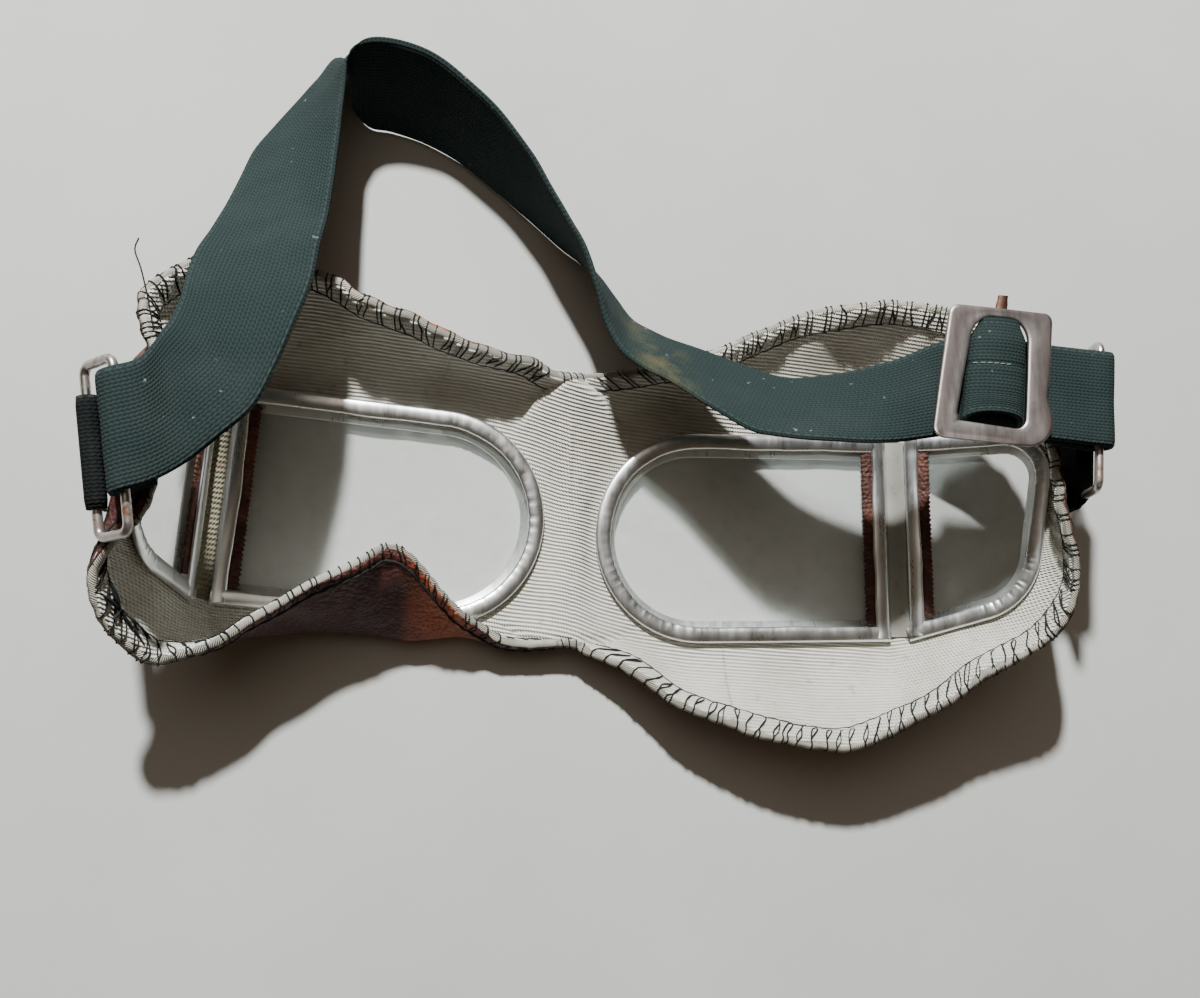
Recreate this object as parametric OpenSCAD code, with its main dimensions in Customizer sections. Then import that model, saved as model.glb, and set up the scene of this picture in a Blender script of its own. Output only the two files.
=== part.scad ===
// Folding welding goggles: two flat-glass eyepieces, each split into a front pane and a hinged side
// pane, in a leather mask with a woven lining, held by an elastic strap with a slide buckle.
// The goggles lie face down: the front flanges of the pane frames rest on Z = 0, the wearer's face
// would be above, +Y is the brow and +X is the wearer's right-hand pane of this view. Millimetres.

/* [Eyepieces] */
// Radius of the round end of a front pane frame, which is also half its height
pane_r = 20.2; // [19:0.1:21]
// Length of a front pane frame, from its round end to the fold line
front_len = 60.6; // [58:0.1:62]
// Length of a side pane frame, from the fold line to its outer end
side_len = 29.5; // [28.5:0.1:30]
// Thickness of a pane frame, front flange to back flange
rim_t = 3.6; // [3.4:0.1:4]
// Width of the back flange, seen from the wearer's side
back_w = 3; // [2.6:0.1:3.4]
// Thickness of the glass
glass_t = 1.8; // [1.5:0.1:1.8]
// Angle between the right front pane and its side pane
right_angle = 35; // [33:1:37]
// Angle between the left front pane and its side pane
left_angle = 70; // [69:1:71]

/* [Mask] */
// Thickness of the leather
leather_t = 0.9; // [0.7:0.1:1]
// Thickness of the woven lining
lining_t = 0.8; // [0.6:0.1:0.9]
// Radius of the overcast stitching along the free edge
edge_r = 1.1; // [0.9:0.1:1.2]

/* [Strap] */
// Thickness of the elastic strap
strap_t = 1.2; // [1:0.1:1.3]
// Rod radius of the strap rings
ring_r = 0.8; // [0.7:0.1:0.9]
// Length of a strap ring, outside
ring_l = 29; // [28:0.5:30]
// Width of a strap ring, outside
ring_w = 9; // [8.5:0.5:9.5]

/* [Buckle] */
// Width of the buckle plate along the strap
buckle_w = 21; // [20:0.5:22]
// Length of the buckle plate across the strap
buckle_l = 24.5; // [24:0.5:25]
// Thickness of the buckle plate
buckle_t = 0.8; // [0.7:0.1:1]

/* [Hidden] */

// Colours
aluminium_c = [0.78, 0.8, 0.8];
glass_c = [0.75, 0.82, 0.78, 0.4];
leather_c = [0.38, 0.16, 0.1];
lining_c = [0.8, 0.78, 0.72];
thread_c = [0.08, 0.1, 0.1];
strap_c = [0.12, 0.17, 0.17];
steel_c = [0.6, 0.58, 0.56];
buckle_c = [0.58, 0.5, 0.48];

// Sides of the face, as the sign of X
RIGHT = 1;
LEFT = -1;

// Shift from the construction's origin to the middle of the goggles' box
middle = [2.7, 1.6, 0];
// Where the round end of each front frame is, and how far the left eyepiece is turned
right_at = [-5, -27.6, 0];
left_at = [-15, -26.2, 0];
left_turn = -5.8;
// Height of the fold lines of the side panes, and the gap left each side of them
fold_z = 3.3;
fold_gap = 2;

// Pane frame section: flanges, web and the lips that show inside the glass
flange_t = 0.6;
web_in = 1.2;
web_t = 0.8;
front_out = 0.3;
front_in = 4.2;
// Play of the glass in its groove, and the seat that it rests on
glass_play = 0.05;
glass_z = flange_t + 0.1;
glass_in = web_in + web_t + glass_play;

// Side pane outline: a lower edge that rises from the divider, a large lower corner and a small upper one
low_rise = 15;
low_run = 15.4;
upper_r = 9;
lower_r = 14;
upper_c = [side_len - upper_r, pane_r - upper_r];
lower_c = [fold_gap, -pane_r] + turned([low_run, lower_r], low_rise);
corner_gap = upper_c - lower_c;
// Direction that the slanted outer edge faces
slant = atan2(corner_gap.y, corner_gap.x) - acos((lower_r - upper_r) / norm(corner_gap));

// Divider: aluminium bars, pinked leather and tape
bar_w = 2.8;
pink_w = 2.1;
pink_pitch = 1.6;
pink_play = 0.3;
divider_t = 0.35;
divider_play = 0.05;
tooth_depth = 0.6;
tape_w = 3.6;
tape_t = 0.6;

// Mask sheets: ribs along the frame, points across, and how far a sheet runs out before it turns up
rib_n = 48;
cross_n = 5;
front_run_out = 8;
side_run_out = 2.5;
sheet_z = 1.55;
// Depth that the sheets reach into the groove of the frame
groove_in = 0.9;
sheet_gap = 0.25;
// Distance that the sheets stop short of the middle of the edging
edge_back = 3;

// Free edges of the mask. Each row is a place along the frame, 0 at the lower end of the divider and
// 1 at its upper end, then the point of the free edge that belongs to it.
right_front_edge = [
    [0, 52, -62, 17], [0.05, 46, -65, 16], [0.1, 40, -67, 15], [0.17, 29, -66, 14],
    [0.24, 19, -63, 13], [0.29, 9, -59, 11], [0.315, 3, -55, 9], [0.335, -3, -51, 7],
    [0.36, -7.5, -48, 5.5], [0.39, -8.7, -42, 3.6], [0.445, -8.7, -34.5, 3],
    [0.5, -8.7, -27, 2.6], [0.56, -8.7, -19.5, 3.2], [0.625, -8.7, -12, 4],
    [0.65, -8, 0, 5.5], [0.68, -3, 3, 6.5], [0.71, 4, 4, 7], [0.74, 13, 6, 8],
    [0.78, 22, 9.5, 10], [0.84, 31, 13, 13], [0.89, 38, 15, 15], [0.95, 46, 16, 17],
    [1, 52, 16, 18]
];
right_side_edge = [
    [0, 57.5, -59, 18], [0.1, 64, -55, 19], [0.19, 71, -51, 20.5], [0.288, 77, -46.5, 23],
    [0.368, 79.5, -41, 25.5], [0.44, 79.5, -34, 27], [0.542, 78, -24, 27.3], [0.613, 77.4, -15, 26.2],
    [0.694, 76.8, -5, 25], [0.766, 74, 5, 23.5], [0.857, 67, 11, 22], [0.929, 61.5, 13.5, 21],
    [1, 58, 15, 20]
];
left_front_edge = [
    [0, -71.5, -46.5, 19], [0.045, -67, -43, 18], [0.09, -61, -39.5, 18], [0.14, -54, -36, 18],
    [0.18, -48.5, -33, 18], [0.21, -44.5, -31, 18], [0.23, -41, -32, 17], [0.26, -37, -36, 14],
    [0.285, -32, -41, 10], [0.31, -27.5, -44.5, 7], [0.335, -22, -47, 5], [0.36, -15, -47.3, 4.4],
    [0.39, -12, -42, 3.2], [0.445, -11.7, -34.5, 2.9],
    [0.5, -11.6, -27, 2.6], [0.555, -11.8, -20, 3.2], [0.61, -12.2, -13, 4], [0.65, -13.6, 0.5, 8],
    [0.68, -18, 4, 10.5], [0.715, -25, 5, 12.5], [0.74, -32, 7, 14], [0.77, -40, 10, 16],
    [0.825, -48, 13, 17], [0.9, -57, 17, 18], [1, -67, 19, 19]
];
left_side_edge = [
    [0, -77.5, -49.5, 20], [0.082, -82, -50.5, 21], [0.153, -85, -48.5, 23], [0.229, -88.5, -45, 26],
    [0.308, -90.5, -40, 28.5], [0.378, -90, -36.5, 30], [0.44, -87.5, -32.5, 31.5],
    [0.511, -82.5, -27, 32.8], [0.593, -80.5, -18, 32.8], [0.684, -81, -7, 32.6], [0.766, -83, 2, 31.8], [0.837, -84.5, 9.5, 27.5], [0.918, -80, 14.5, 25],
    [1, -74.5, 18, 22]
];

// Strap: rows of the far edge and then the near edge, from the left ring to the buckle
strap_left_rows = [
    [-81, -0.5, 36.8, -75.5, -19.5, 36.9], [-80, 1.5, 36, -70.5, -15, 36.4],
    [-79, 4, 34, -66, -10.5, 35.4], [-78, 8, 32, -62.5, -3, 34],
    [-77.5, 13, 29, -59.5, 5.5, 32], [-76.5, 18, 25, -57.5, 11.5, 30], [-74.5, 24, 20, -56.3, 19, 28],
    [-72, 32, 14, -55, 26, 25.5], [-69, 42, 9, -54, 34.5, 23], [-64, 51, 4, -53.3, 44.5, 20.5],
    [-58, 60, 1, -52.8, 51.5, 19.5], [-54, 64.5, 0.7, -52.4, 56, 19.3], [-51.8, 61.5, 0.6, -51.7, 58, 19.1],
    [-51, 55, 0.6, -50.6, 59.5, 18.9], [-48.5, 51.8, 0.6, -48.8, 60.8, 18.6],
    [-44, 51, 0.6, -45, 61.2, 18.4], [-35, 48, 0.6, -37.5, 59.5, 18], [-27, 42.8, 0.6, -27, 51.5, 18],
    [-19, 36.3, 0.6, -19.3, 42, 18]
];
strap_right_rows = [
    [-11, 29.7, 0.6, -12.3, 29.5, 18.3], [-7, 26.8, 0.6, -9.8, 24.7, 18.7], [-3.3, 23.2, 1, -7.4, 16.7, 19.5],
    [-0.5, 19, 2, -5.9, 10.3, 19.5], [2.6, 14.2, 4, -3.3, 4.7, 20], [6.4, 11, 7.5, 0.5, 1.6, 21],
    [12.6, 7.8, 11, 5.6, -1.5, 22.6], [20.2, 4, 15, 12, -6.5, 25.5], [26.7, 1, 19, 18.3, -10.9, 28.5],
    [30, 0.2, 21.2, 22, -12, 30.3]
];
// The strap's first rows on the right side pane, where it lies down flat
strap_landing_rows = [[38.5, 0.8, 26.2, 33.5, -13.3, 33], [45, 2.2, 29.5, 40.5, -13.6, 34.2]];
// Straight stretch that the buckle slides on: far and near edge at X = 0, its direction and its up
run_far = [0, 3.6, 31.4];
run_near = [-2, -14.2, 32.6];
run_dir = [1, 0.01, 0.01];
run_up = [0, 0.07, 1];
run_from = 53;
// Fold of the strap round a ring: its mean radius and the height between the layers at the far end
turn_r = 2.1;
right_turn_x = 85.3;
return_x = 62;
return_h = 1.7;
// Left fold: middle of its far and near edge, direction along the strap
left_far = [-87, -5.3, 39.6];
left_near = [-84.4, -24.4, 39.6];
left_dir = [0.94, 0.33, -0.1];
left_reach = 4;
left_return = 4.5;

// Rings: middle of the bar in the strap, its tilt along Y, its angle from Y, and the slope down to the
// bar in the tab
right_bar = [84.03, -7, 30.91];
right_bar_tilt = -3.85;
right_bar_turn = -6.4;
right_ring_slope = 100;
left_bar = [-85.4, -17, 37.5];
left_bar_tilt = 0;
left_bar_turn = 7;
left_ring_slope = 45;
// Inner corner radius of a ring's wire, at its middle line
ring_corner = 1.6;
// Tabs: their thickness, width and play on the wire, then how far each hangs below the ring's bar, at
// what slope, and how far it has slid along the bar
tab_t = 0.8;
tab_w = 18;
tab_play = 0.2;
right_tab = [10, 88, -3.6];
left_tab = [4.5, 92, 0];

// Buckle: middle of the plate on the strap, its roll about the strap and its turn about the normal
buckle_at = [61.3, -4, 33];
buckle_roll = -2;
buckle_turn = -3.5;
buckle_shift = 2.6;
bar_r = 0.7;
// The plate is skewed: how far points lean with their height, and how much less on the right
plate_lean = 0.08;
lean_change = 0.06;
plate_z = 2.5;
window_w = 11.6;
window_l = 20;
window_y = 0.6;
loop_w = 9.2;
loop_l = 17;
loop_low = 1.1;
loop_high = 6.3;
loop_t = 0.9;

// ---- curves ----
function unit(v) = v / norm(v);

// Point at fraction f of a smooth curve through the points p
function curve_at(p, f) =
    let (n = len(p) - 1, s = min(n - 1, floor(f * n)), u = f * n - s)
    let (a = p[max(0, s - 1)], b = p[s], c = p[s + 1], d = p[min(n, s + 2)])
    0.5 * (2 * b + (c - a) * u + (2 * a - 5 * b + 4 * c - d) * u * u
        + (3 * b - a - 3 * c + d) * u * u * u);

function arc(c, r, from, to, n) =
    [for (i = [0 : n]) let (a = from + (to - from) * i / n) [c.x + r * cos(a), c.y + r * sin(a)]];

// ---- places on the eyepieces ----
function turned(p, a) = [p.x * cos(a) - p.y * sin(a), p.x * sin(a) + p.y * cos(a), p.z];
function eye_point(side, p) = side == RIGHT ? right_at + p
    : left_at + turned([-p.x, p.y, p.z], left_turn);
function eye_dir(side, v) = side == RIGHT ? v : turned([-v.x, v.y, v.z], left_turn);
function angle_of(side) = side == RIGHT ? right_angle : left_angle;
function raised(side, v) = let (a = angle_of(side))
    [v.x * cos(a) - v.z * sin(a), v.y, v.x * sin(a) + v.z * cos(a)];
function side_point(side, p) =
    eye_point(side, [front_len, 0, fold_z] + raised(side, p - [0, 0, fold_z]));

// Outline of a front frame at a fraction of its way round: x, y, and the direction it faces
function front_path(f) =
    let (s = front_len - fold_gap - pane_r, q = PI * pane_r, l = f * (2 * s + q))
    l < s ? [front_len - fold_gap - l, -pane_r, 0, -1]
    : l < s + q ? let (a = 270 - 180 * (l - s) / q)
        [pane_r + pane_r * cos(a), pane_r * sin(a), cos(a), sin(a)]
    : [pane_r + l - s - q, pane_r, 0, 1];

// The same for a side frame
function side_path(f) =
    let (s1 = low_run, q1 = PI * lower_r * (slant + 90 - low_rise) / 180)
    let (s2 = sqrt(pow(norm(corner_gap), 2) - pow(lower_r - upper_r, 2)))
    let (q2 = PI * upper_r * (90 - slant) / 180, s3 = upper_c.x - fold_gap)
    let (l = f * (s1 + q1 + s2 + q2 + s3))
    l < s1 ? [fold_gap + l * cos(low_rise), -pane_r + l * sin(low_rise), sin(low_rise), -cos(low_rise)]
    : l < s1 + q1 ? let (a = low_rise - 90 + (l - s1) / q1 * (slant + 90 - low_rise))
        [lower_c.x + lower_r * cos(a), lower_c.y + lower_r * sin(a), cos(a), sin(a)]
    : l < s1 + q1 + s2 ? let (d = l - s1 - q1)
        [lower_c.x + lower_r * cos(slant) - d * sin(slant),
         lower_c.y + lower_r * sin(slant) + d * cos(slant), cos(slant), sin(slant)]
    : l < s1 + q1 + s2 + q2 ? let (a = slant + (l - s1 - q1 - s2) / q2 * (90 - slant))
        [upper_c.x + upper_r * cos(a), upper_c.y + upper_r * sin(a), cos(a), sin(a)]
    : [upper_c.x - (l - s1 - q1 - s2 - q2), pane_r, 0, 1];

module eye(side) {
    if (side == RIGHT) translate(right_at) children();
    else translate(left_at) rotate([0, 0, left_turn]) mirror([1, 0, 0]) children();
}

module side_pane(side) {
    eye(side) translate([front_len, 0, fold_z]) rotate([0, -angle_of(side), 0])
        translate([0, 0, -fold_z]) children();
}

// Puts the origin under the middle of the goggles
module centred() { translate(middle) children(); }

// ---- pane frames and glass ----
module front_outline(inset, end) {
    polygon(concat([[front_len - end, -pane_r + inset]],
        arc([pane_r, 0], pane_r - inset, 270, 90, 30), [[front_len - end, pane_r - inset]]));
}

module side_outline(inset, end) {
    low = (end - fold_gap) * tan(low_rise) + inset / cos(low_rise);
    polygon(concat([[end, pane_r - inset], [end, low - pane_r]],
        arc(lower_c, lower_r - inset, 270 + low_rise, 360 + slant, 16),
        arc(upper_c, upper_r - inset, slant, 90, 12)));
}

// A channel round a pane: web, back flange and front flange, with a lip of its own along the divider
module channel(straight_lip) {
    difference() {
        union() {
            translate([0, 0, rim_t - flange_t]) linear_extrude(flange_t) outline_of(0, fold_gap);
            linear_extrude(rim_t) outline_of(web_in, fold_gap);
            linear_extrude(flange_t) outline_of(-front_out, fold_gap);
        }
        translate([0, 0, flange_t]) linear_extrude(rim_t - 2 * flange_t)
            outline_of(web_in + web_t, fold_gap + web_t);
        translate([0, 0, rim_t / 2]) linear_extrude(rim_t)
            outline_of(back_w, fold_gap + bar_w);
        translate([0, 0, -rim_t / 2]) linear_extrude(rim_t)
            outline_of(front_in, fold_gap + straight_lip);
    }
}

// The outline that the caller has chosen with $front
module outline_of(inset, end) {
    if ($front) front_outline(inset, end);
    else side_outline(inset, end);
}

module front_rim(side) { color(aluminium_c) eye(side) channel(bar_w, $front = true); }
module side_rim(side) { color(aluminium_c) side_pane(side) channel(bar_w, $front = false); }

module pane_glass() {
    translate([0, 0, glass_z]) linear_extrude(glass_t)
        outline_of(glass_in, fold_gap + web_t + glass_play);
}
module front_glass(side) { color(glass_c) eye(side) pane_glass($front = true); }
module side_glass(side) { color(glass_c) side_pane(side) pane_glass($front = false); }

// ---- dividers ----
// Pinked leather strip in the frame of one pane: from the fold line, under the bar, to its pinked edge
module pinked_strip(dir) {
    near = fold_gap + web_t + 2 * divider_play;
    far = fold_gap + bar_w + pink_w;
    half = pane_r - back_w - pink_play;
    low = half - (dir > 0 ? far * tan(low_rise) : 0);
    n = floor((half + low) / pink_pitch);
    valleys = [for (i = [0 : n - 1]) [far - tooth_depth, (i + 0.05) / n]];
    peaks = [for (i = [0 : n - 1]) [far, (i + 0.5) / n]];
    teeth = [for (i = [0 : n - 1], p = [valleys[i], peaks[i]]) [dir * p.x, (half + low) * p.y - low]];
    translate([0, 0, rim_t - flange_t - divider_t - divider_play]) linear_extrude(divider_t)
        polygon(concat([[dir * near, -low], [dir * (far - tooth_depth), -low]], teeth,
            [[dir * (far - tooth_depth), half], [dir * near, half]]));
}
module divider_front_leather(side) {
    color(leather_c) eye(side) translate([front_len, 0, 0]) pinked_strip(-1);
}
module divider_side_leather(side) { color(leather_c) side_pane(side) pinked_strip(1); }

// Tape along the fold line, between the two bars
module divider_tape(side) {
    color(lining_c) eye(side) translate([front_len, 0, fold_z]) rotate([0, -angle_of(side) / 2, 0])
        translate([-tape_w / 2, -pane_r + 1, -tape_t / 2]) cube([tape_w, 2 * pane_r - 2, tape_t]);
}

// ---- mask sheets ----
// Points across the sheet at one rib: out from the frame, then up to the free edge
function rib(side, front, row) =
    let (q = front ? front_path(row[0]) : side_path(row[0]))
    let (p = [q[0], q[1], sheet_z], away = [q[2], q[3], 0])
    let (edge = [row[1], row[2], row[3]])
    let (root = p - away * groove_in)
    let (base = front ? eye_point(side, root) : side_point(side, root))
    let (out = away * min(front ? front_run_out : side_run_out, 0.5 * norm(edge - base)))
    let (bend = front ? eye_point(side, p + out) : side_point(side, p + out))
    let (tip = edge - unit(edge - bend) * edge_back)
    [for (j = [0 : cross_n]) let (v = j / cross_n)
        (1 - v) * (1 - v) * base + 2 * v * (1 - v) * bend + v * v * tip];

function mask_grid(side, front, edge) =
    [for (i = [0 : rib_n]) rib(side, front, curve_at(edge, i / rib_n))];

// Direction out of the sheet, towards the wearer, at each grid point
function sheet_normals(g, sign) = let (n = len(g) - 1, m = len(g[0]) - 1)
    [for (i = [0 : n]) [for (j = [0 : m])
        sign * unit(cross(g[min(n, i + 1)][j] - g[max(0, i - 1)][j],
            g[i][min(m, j + 1)] - g[i][max(0, j - 1)]))]];

function shifted(g, nrm, d) = [for (i = [0 : len(g) - 1]) [for (j = [0 : len(g[0]) - 1])
    g[i][j] + nrm[i][j] * d]];

function flat_list(g) = [for (row = g, p = row) p];

// Closed sheet between two grids of the same size, the second one on the side that n faces away from
module sheet(top, bottom) {
    n = len(top) - 1;
    m = len(top[0]);
    k = (n + 1) * m;
    last = n * m;
    over = [for (i = [0 : n - 1], j = [0 : m - 2]) let (a = i * m + j) [a, a + 1, a + m + 1, a + m]];
    under = [for (q = over) [q[3] + k, q[2] + k, q[1] + k, q[0] + k]];
    start = [for (j = [0 : m - 2]) [j + 1, j, j + k, j + 1 + k]];
    end = [for (j = [0 : m - 2]) let (a = last + j) [a, a + 1, a + 1 + k, a + k]];
    base = [for (i = [0 : n - 1]) let (a = i * m) [a, a + m, a + m + k, a + k]];
    tip = [for (i = [0 : n - 1]) let (a = i * m + m - 1) [a + m, a, a + k, a + m + k]];
    polyhedron(concat(flat_list(top), flat_list(bottom)),
        triangles(concat(over, under, start, end, base, tip)), convexity = 8);
}

function triangles(quads) = [for (q = quads, t = [[q[0], q[1], q[2]], [q[0], q[2], q[3]]]) t];

// The grid runs counter-clockwise on the right and clockwise on the left, so the sign follows the side
module mask_layer(side, front, edge, low, high) {
    g = mask_grid(side, front, edge);
    sign = side * (front ? 1 : -1);
    nrm = sheet_normals(g, sign);
    if (sign > 0) sheet(shifted(g, nrm, high), shifted(g, nrm, low));
    else sheet(shifted(g, nrm, low), shifted(g, nrm, high));
}

module mask_leather(side, front, edge) {
    color(leather_c) mask_layer(side, front, edge, -leather_t, -sheet_gap / 2);
}
module mask_lining(side, front, edge) {
    color(lining_c) mask_layer(side, front, edge, sheet_gap / 2, lining_t);
}

// Overcast stitching as a cord of round section along the free edge
module mask_edging(edge) {
    pts = [for (i = [1 : rib_n - 1]) let (r = curve_at(edge, i / rib_n)) [r[1], r[2], r[3]]];
    color(thread_c) cord(pts, edge_r, 8);
}

// Round cord along points
module cord(pts, r, sides) {
    n = len(pts) - 1;
    rings = [for (i = [0 : n])
        let (t = unit(pts[min(n, i + 1)] - pts[max(0, i - 1)]))
        let (a = unit(cross(t, [0, 0, 1])), b = cross(t, a))
        [for (k = [0 : sides - 1]) let (w = k * 360 / sides) pts[i] + r * (cos(w) * a + sin(w) * b)]];
    body = [for (i = [0 : n - 1], k = [0 : sides - 1]) let (q = i * sides, e = (k + 1) % sides)
        [q + k, q + sides + k, q + sides + e, q + e]];
    caps = [[for (k = [0 : sides - 1]) k], [for (k = [0 : sides - 1]) n * sides + sides - 1 - k]];
    polyhedron(flat_list(rings), concat(triangles(body), caps), convexity = 8);
}

// ---- strap ----
function far_of(r) = [r[0], r[1], r[2]];
function near_of(r) = [r[3], r[4], r[5]];

// Flat band through rows of a far and a near edge
module band(rows, t) {
    n = len(rows) - 1;
    rings = [for (i = [0 : n])
        let (f = far_of(rows[i]), e = near_of(rows[i]))
        let (a = rows[min(n, i + 1)], b = rows[max(0, i - 1)])
        let (dir = (far_of(a) + near_of(a)) - (far_of(b) + near_of(b)))
        let (up = unit(cross(e - f, dir)) * t / 2)
        [f + up, e + up, e - up, f - up]];
    body = [for (i = [0 : n - 1], k = [0 : 3]) let (q = i * 4, e = (k + 1) % 4)
        [q + 4 + k, q + 4 + e, q + e, q + k]];
    caps = [[0, 1, 2, 3], [n * 4 + 3, n * 4 + 2, n * 4 + 1, n * 4]];
    polyhedron(flat_list(rings), triangles(concat(body, caps)), convexity = 8);
}

function smooth_rows(rows, n) = [for (i = [0 : n]) curve_at(rows, i / n)];

// Row of the straight stretch at X = x, lifted h along its up direction
function run_row(x, h) = let (d = run_dir * x + run_up * h) concat(run_far + d, run_near + d);

// Row of the left fold at distance a along the strap, lifted h
function left_row(a, h) = let (d = left_dir * a + [0, 0, h]) concat(left_far + d, left_near + d);

module strap_left() { color(strap_c) band(smooth_rows(strap_left_rows, 44), strap_t); }
module strap_right() { color(strap_c) band(smooth_rows(strap_right_rows, 26), strap_t); }

module strap_right_end() {
    turn = [for (i = [0 : 8]) let (a = 90 - i * 22.5)
        run_row(right_turn_x + turn_r * cos(a), turn_r * (sin(a) - 1))];
    back = [for (x = [80, 72, return_x]) run_row(x,
        -return_h - (2 * turn_r - return_h) * pow((x - return_x) / (right_turn_x - return_x), 2))];
    color(strap_c) band(concat(strap_landing_rows, [run_row(run_from, 0)], turn, back), strap_t);
}

module strap_left_end() {
    turn = [for (i = [0 : 8]) let (a = 90 + i * 22.5) left_row(turn_r * cos(a), turn_r * (sin(a) - 1))];
    color(strap_c) band(concat([left_row(left_reach, -0.4)], turn, [left_row(left_return, -2 * turn_r)]), strap_t);
}

// ---- rings and tabs ----
// Ring with its outer bar on the Y axis, running to -X
module wire_ring() {
    c = ring_corner;
    w = ring_w - 2 * ring_r;
    l = ring_l - 2 * ring_r;
    for (y = [-l / 2, l / 2]) translate([-w + c, y, 0]) rotate([0, 90, 0])
        cylinder(h = w - 2 * c, r = ring_r, $fn = 24);
    for (x = [0, -w]) translate([x, -l / 2 + c, 0]) rotate([-90, 0, 0])
        cylinder(h = l - 2 * c, r = ring_r, $fn = 24);
    for (q = [[-c, l / 2 - c, 0], [-w + c, l / 2 - c, 90], [-w + c, -l / 2 + c, 180], [-c, -l / 2 + c, 270]])
        translate([q[0], q[1], 0]) rotate([0, 0, q[2]])
            rotate_extrude(angle = 90, $fn = 48) translate([c, 0]) circle(r = ring_r, $fn = 24);
}

// Frame of a ring: the strap's bar at the origin, the ring running down and to -X
module at_ring(side) {
    at = side == RIGHT ? right_bar : left_bar;
    tilt = side == RIGHT ? right_bar_tilt : left_bar_tilt;
    turn = side == RIGHT ? right_bar_turn : left_bar_turn;
    slope = side == RIGHT ? right_ring_slope : left_ring_slope;
    translate(at) rotate([tilt, 0, turn]) rotate([0, -slope, 0]) children();
}

module ring(side) { color(steel_c) at_ring(side) wire_ring(); }

// Tab: an elastic loop round the ring's lower bar, its two layers sewn together below it
module tab(side) {
    w = ring_w - 2 * ring_r;
    r = ring_r + tab_play;
    hang = side == RIGHT ? right_tab : left_tab;
    slope = side == RIGHT ? right_ring_slope : left_ring_slope;
    color(strap_c) at_ring(side) translate([-w, tab_w / 2 + hang[2], 0]) rotate([0, slope - hang[1], 0])
        rotate([90, 0, 0]) linear_extrude(tab_w) difference() {
            union() {
                circle(r = r + tab_t, $fn = 32);
                translate([-hang[0], -tab_t]) square([hang[0], 2 * tab_t]);
            }
            circle(r = r, $fn = 32);
        }
}

// ---- buckle ----
module at_buckle() {
    translate(buckle_at) rotate([buckle_roll, 0, 0]) rotate([0, 0, buckle_turn])
        translate([0, buckle_shift, 0]) children();
}

function skewed(pts) = [for (p = pts)
    [p.x + p.y * (plate_lean - lean_change * p.x / (buckle_w / 2)), p.y]];

// Stamped plate with an arched window, a lip along its lower edge and a bulged lower corner
module buckle_plate() {
    w = buckle_w / 2;
    l = buckle_l / 2;
    color(buckle_c) at_buckle() translate([0, 0, plate_z]) difference() {
        union() {
            linear_extrude(buckle_t) polygon(skewed(concat(arc([-w + 2, l - 2], 2, 180, 90, 6),
                arc([w - 2, l - 2], 2, 90, 0, 6), [[w - 0.7, -l + 8]],
                arc([w - 5, -l + 4.5], 5, 20, -80, 10), arc([-w + 2, -l + 2], 2, 270, 180, 6))));
            translate([-w + 1, -l, buckle_t - 0.1]) cube([buckle_w - 8, 0.7, 0.5]);
        }
        translate([0, window_y, -1]) linear_extrude(buckle_t + 2) window_outline();
    }
}

// Window: straight sides, a round arch above and rounded corners below
module window_outline() {
    w = window_w / 2;
    l = window_l / 2;
    polygon(skewed(concat(arc([-w + 4.5, l - 4.5], 4.5, 180, 90, 10),
        arc([w - 4.5, l - 4.5], 4.5, 90, 0, 10), arc([w - 2.5, -l + 2.5], 2.5, 0, -90, 6),
        arc([-w + 1.5, -l + 1.5], 1.5, 270, 180, 6))));
}

// Centre bar that the strap's end is sewn round, with a flat tail past the plate's upper edge
module buckle_bar() {
    color(steel_c) at_buckle() {
        translate([0, -buckle_l / 2 + 1, plate_z + buckle_t + bar_r]) rotate([-90, 0, 0])
            cylinder(h = buckle_l - 2, r = bar_r, $fn = 24);
        translate([-1.1, buckle_l / 2 - 1, plate_z + buckle_t]) cube([2.2, 3.1, 0.6]);
    }
}

// End of the strap, sewn into a flat tube round the centre bar and standing proud in the window
module strap_end_loop() {
    w = loop_w / 2;
    color(strap_c) at_buckle() translate([0, window_y + loop_l / 2 - 0.8, 0]) rotate([90, 0, 0])
        linear_extrude(loop_l) difference() {
            loop_section(w, loop_low, loop_high);
            loop_section(w - loop_t, loop_low + loop_t, loop_high - loop_t);
        }
}

// Flat bottom and a rounded top, between two heights
module loop_section(w, low, high) {
    r = min(w, (high - low) * 0.8);
    polygon(concat(arc([w - r, high - r], r, 0, 90, 10), arc([-w + r, high - r], r, 90, 180, 10),
        [[-w, low], [w, low]]));
}

centred() front_rim(RIGHT);  // right_front_rim
centred() front_glass(RIGHT);  // right_front_glass
centred() side_rim(RIGHT);  // right_side_rim
centred() side_glass(RIGHT);  // right_side_glass
centred() front_rim(LEFT);  // left_front_rim
centred() front_glass(LEFT);  // left_front_glass
centred() side_rim(LEFT);  // left_side_rim
centred() side_glass(LEFT);  // left_side_glass
centred() divider_front_leather(RIGHT);  // right_divider_front_leather
centred() divider_side_leather(RIGHT);  // right_divider_side_leather
centred() divider_tape(RIGHT);  // right_divider_tape
centred() divider_front_leather(LEFT);  // left_divider_front_leather
centred() divider_side_leather(LEFT);  // left_divider_side_leather
centred() divider_tape(LEFT);  // left_divider_tape
centred() mask_leather(RIGHT, true, right_front_edge);  // right_front_leather
centred() mask_lining(RIGHT, true, right_front_edge);  // right_front_lining
centred() mask_edging(right_front_edge);  // right_front_edging
centred() mask_leather(RIGHT, false, right_side_edge);  // right_side_leather
centred() mask_lining(RIGHT, false, right_side_edge);  // right_side_lining
centred() mask_edging(right_side_edge);  // right_side_edging
centred() mask_leather(LEFT, true, left_front_edge);  // left_front_leather
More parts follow.
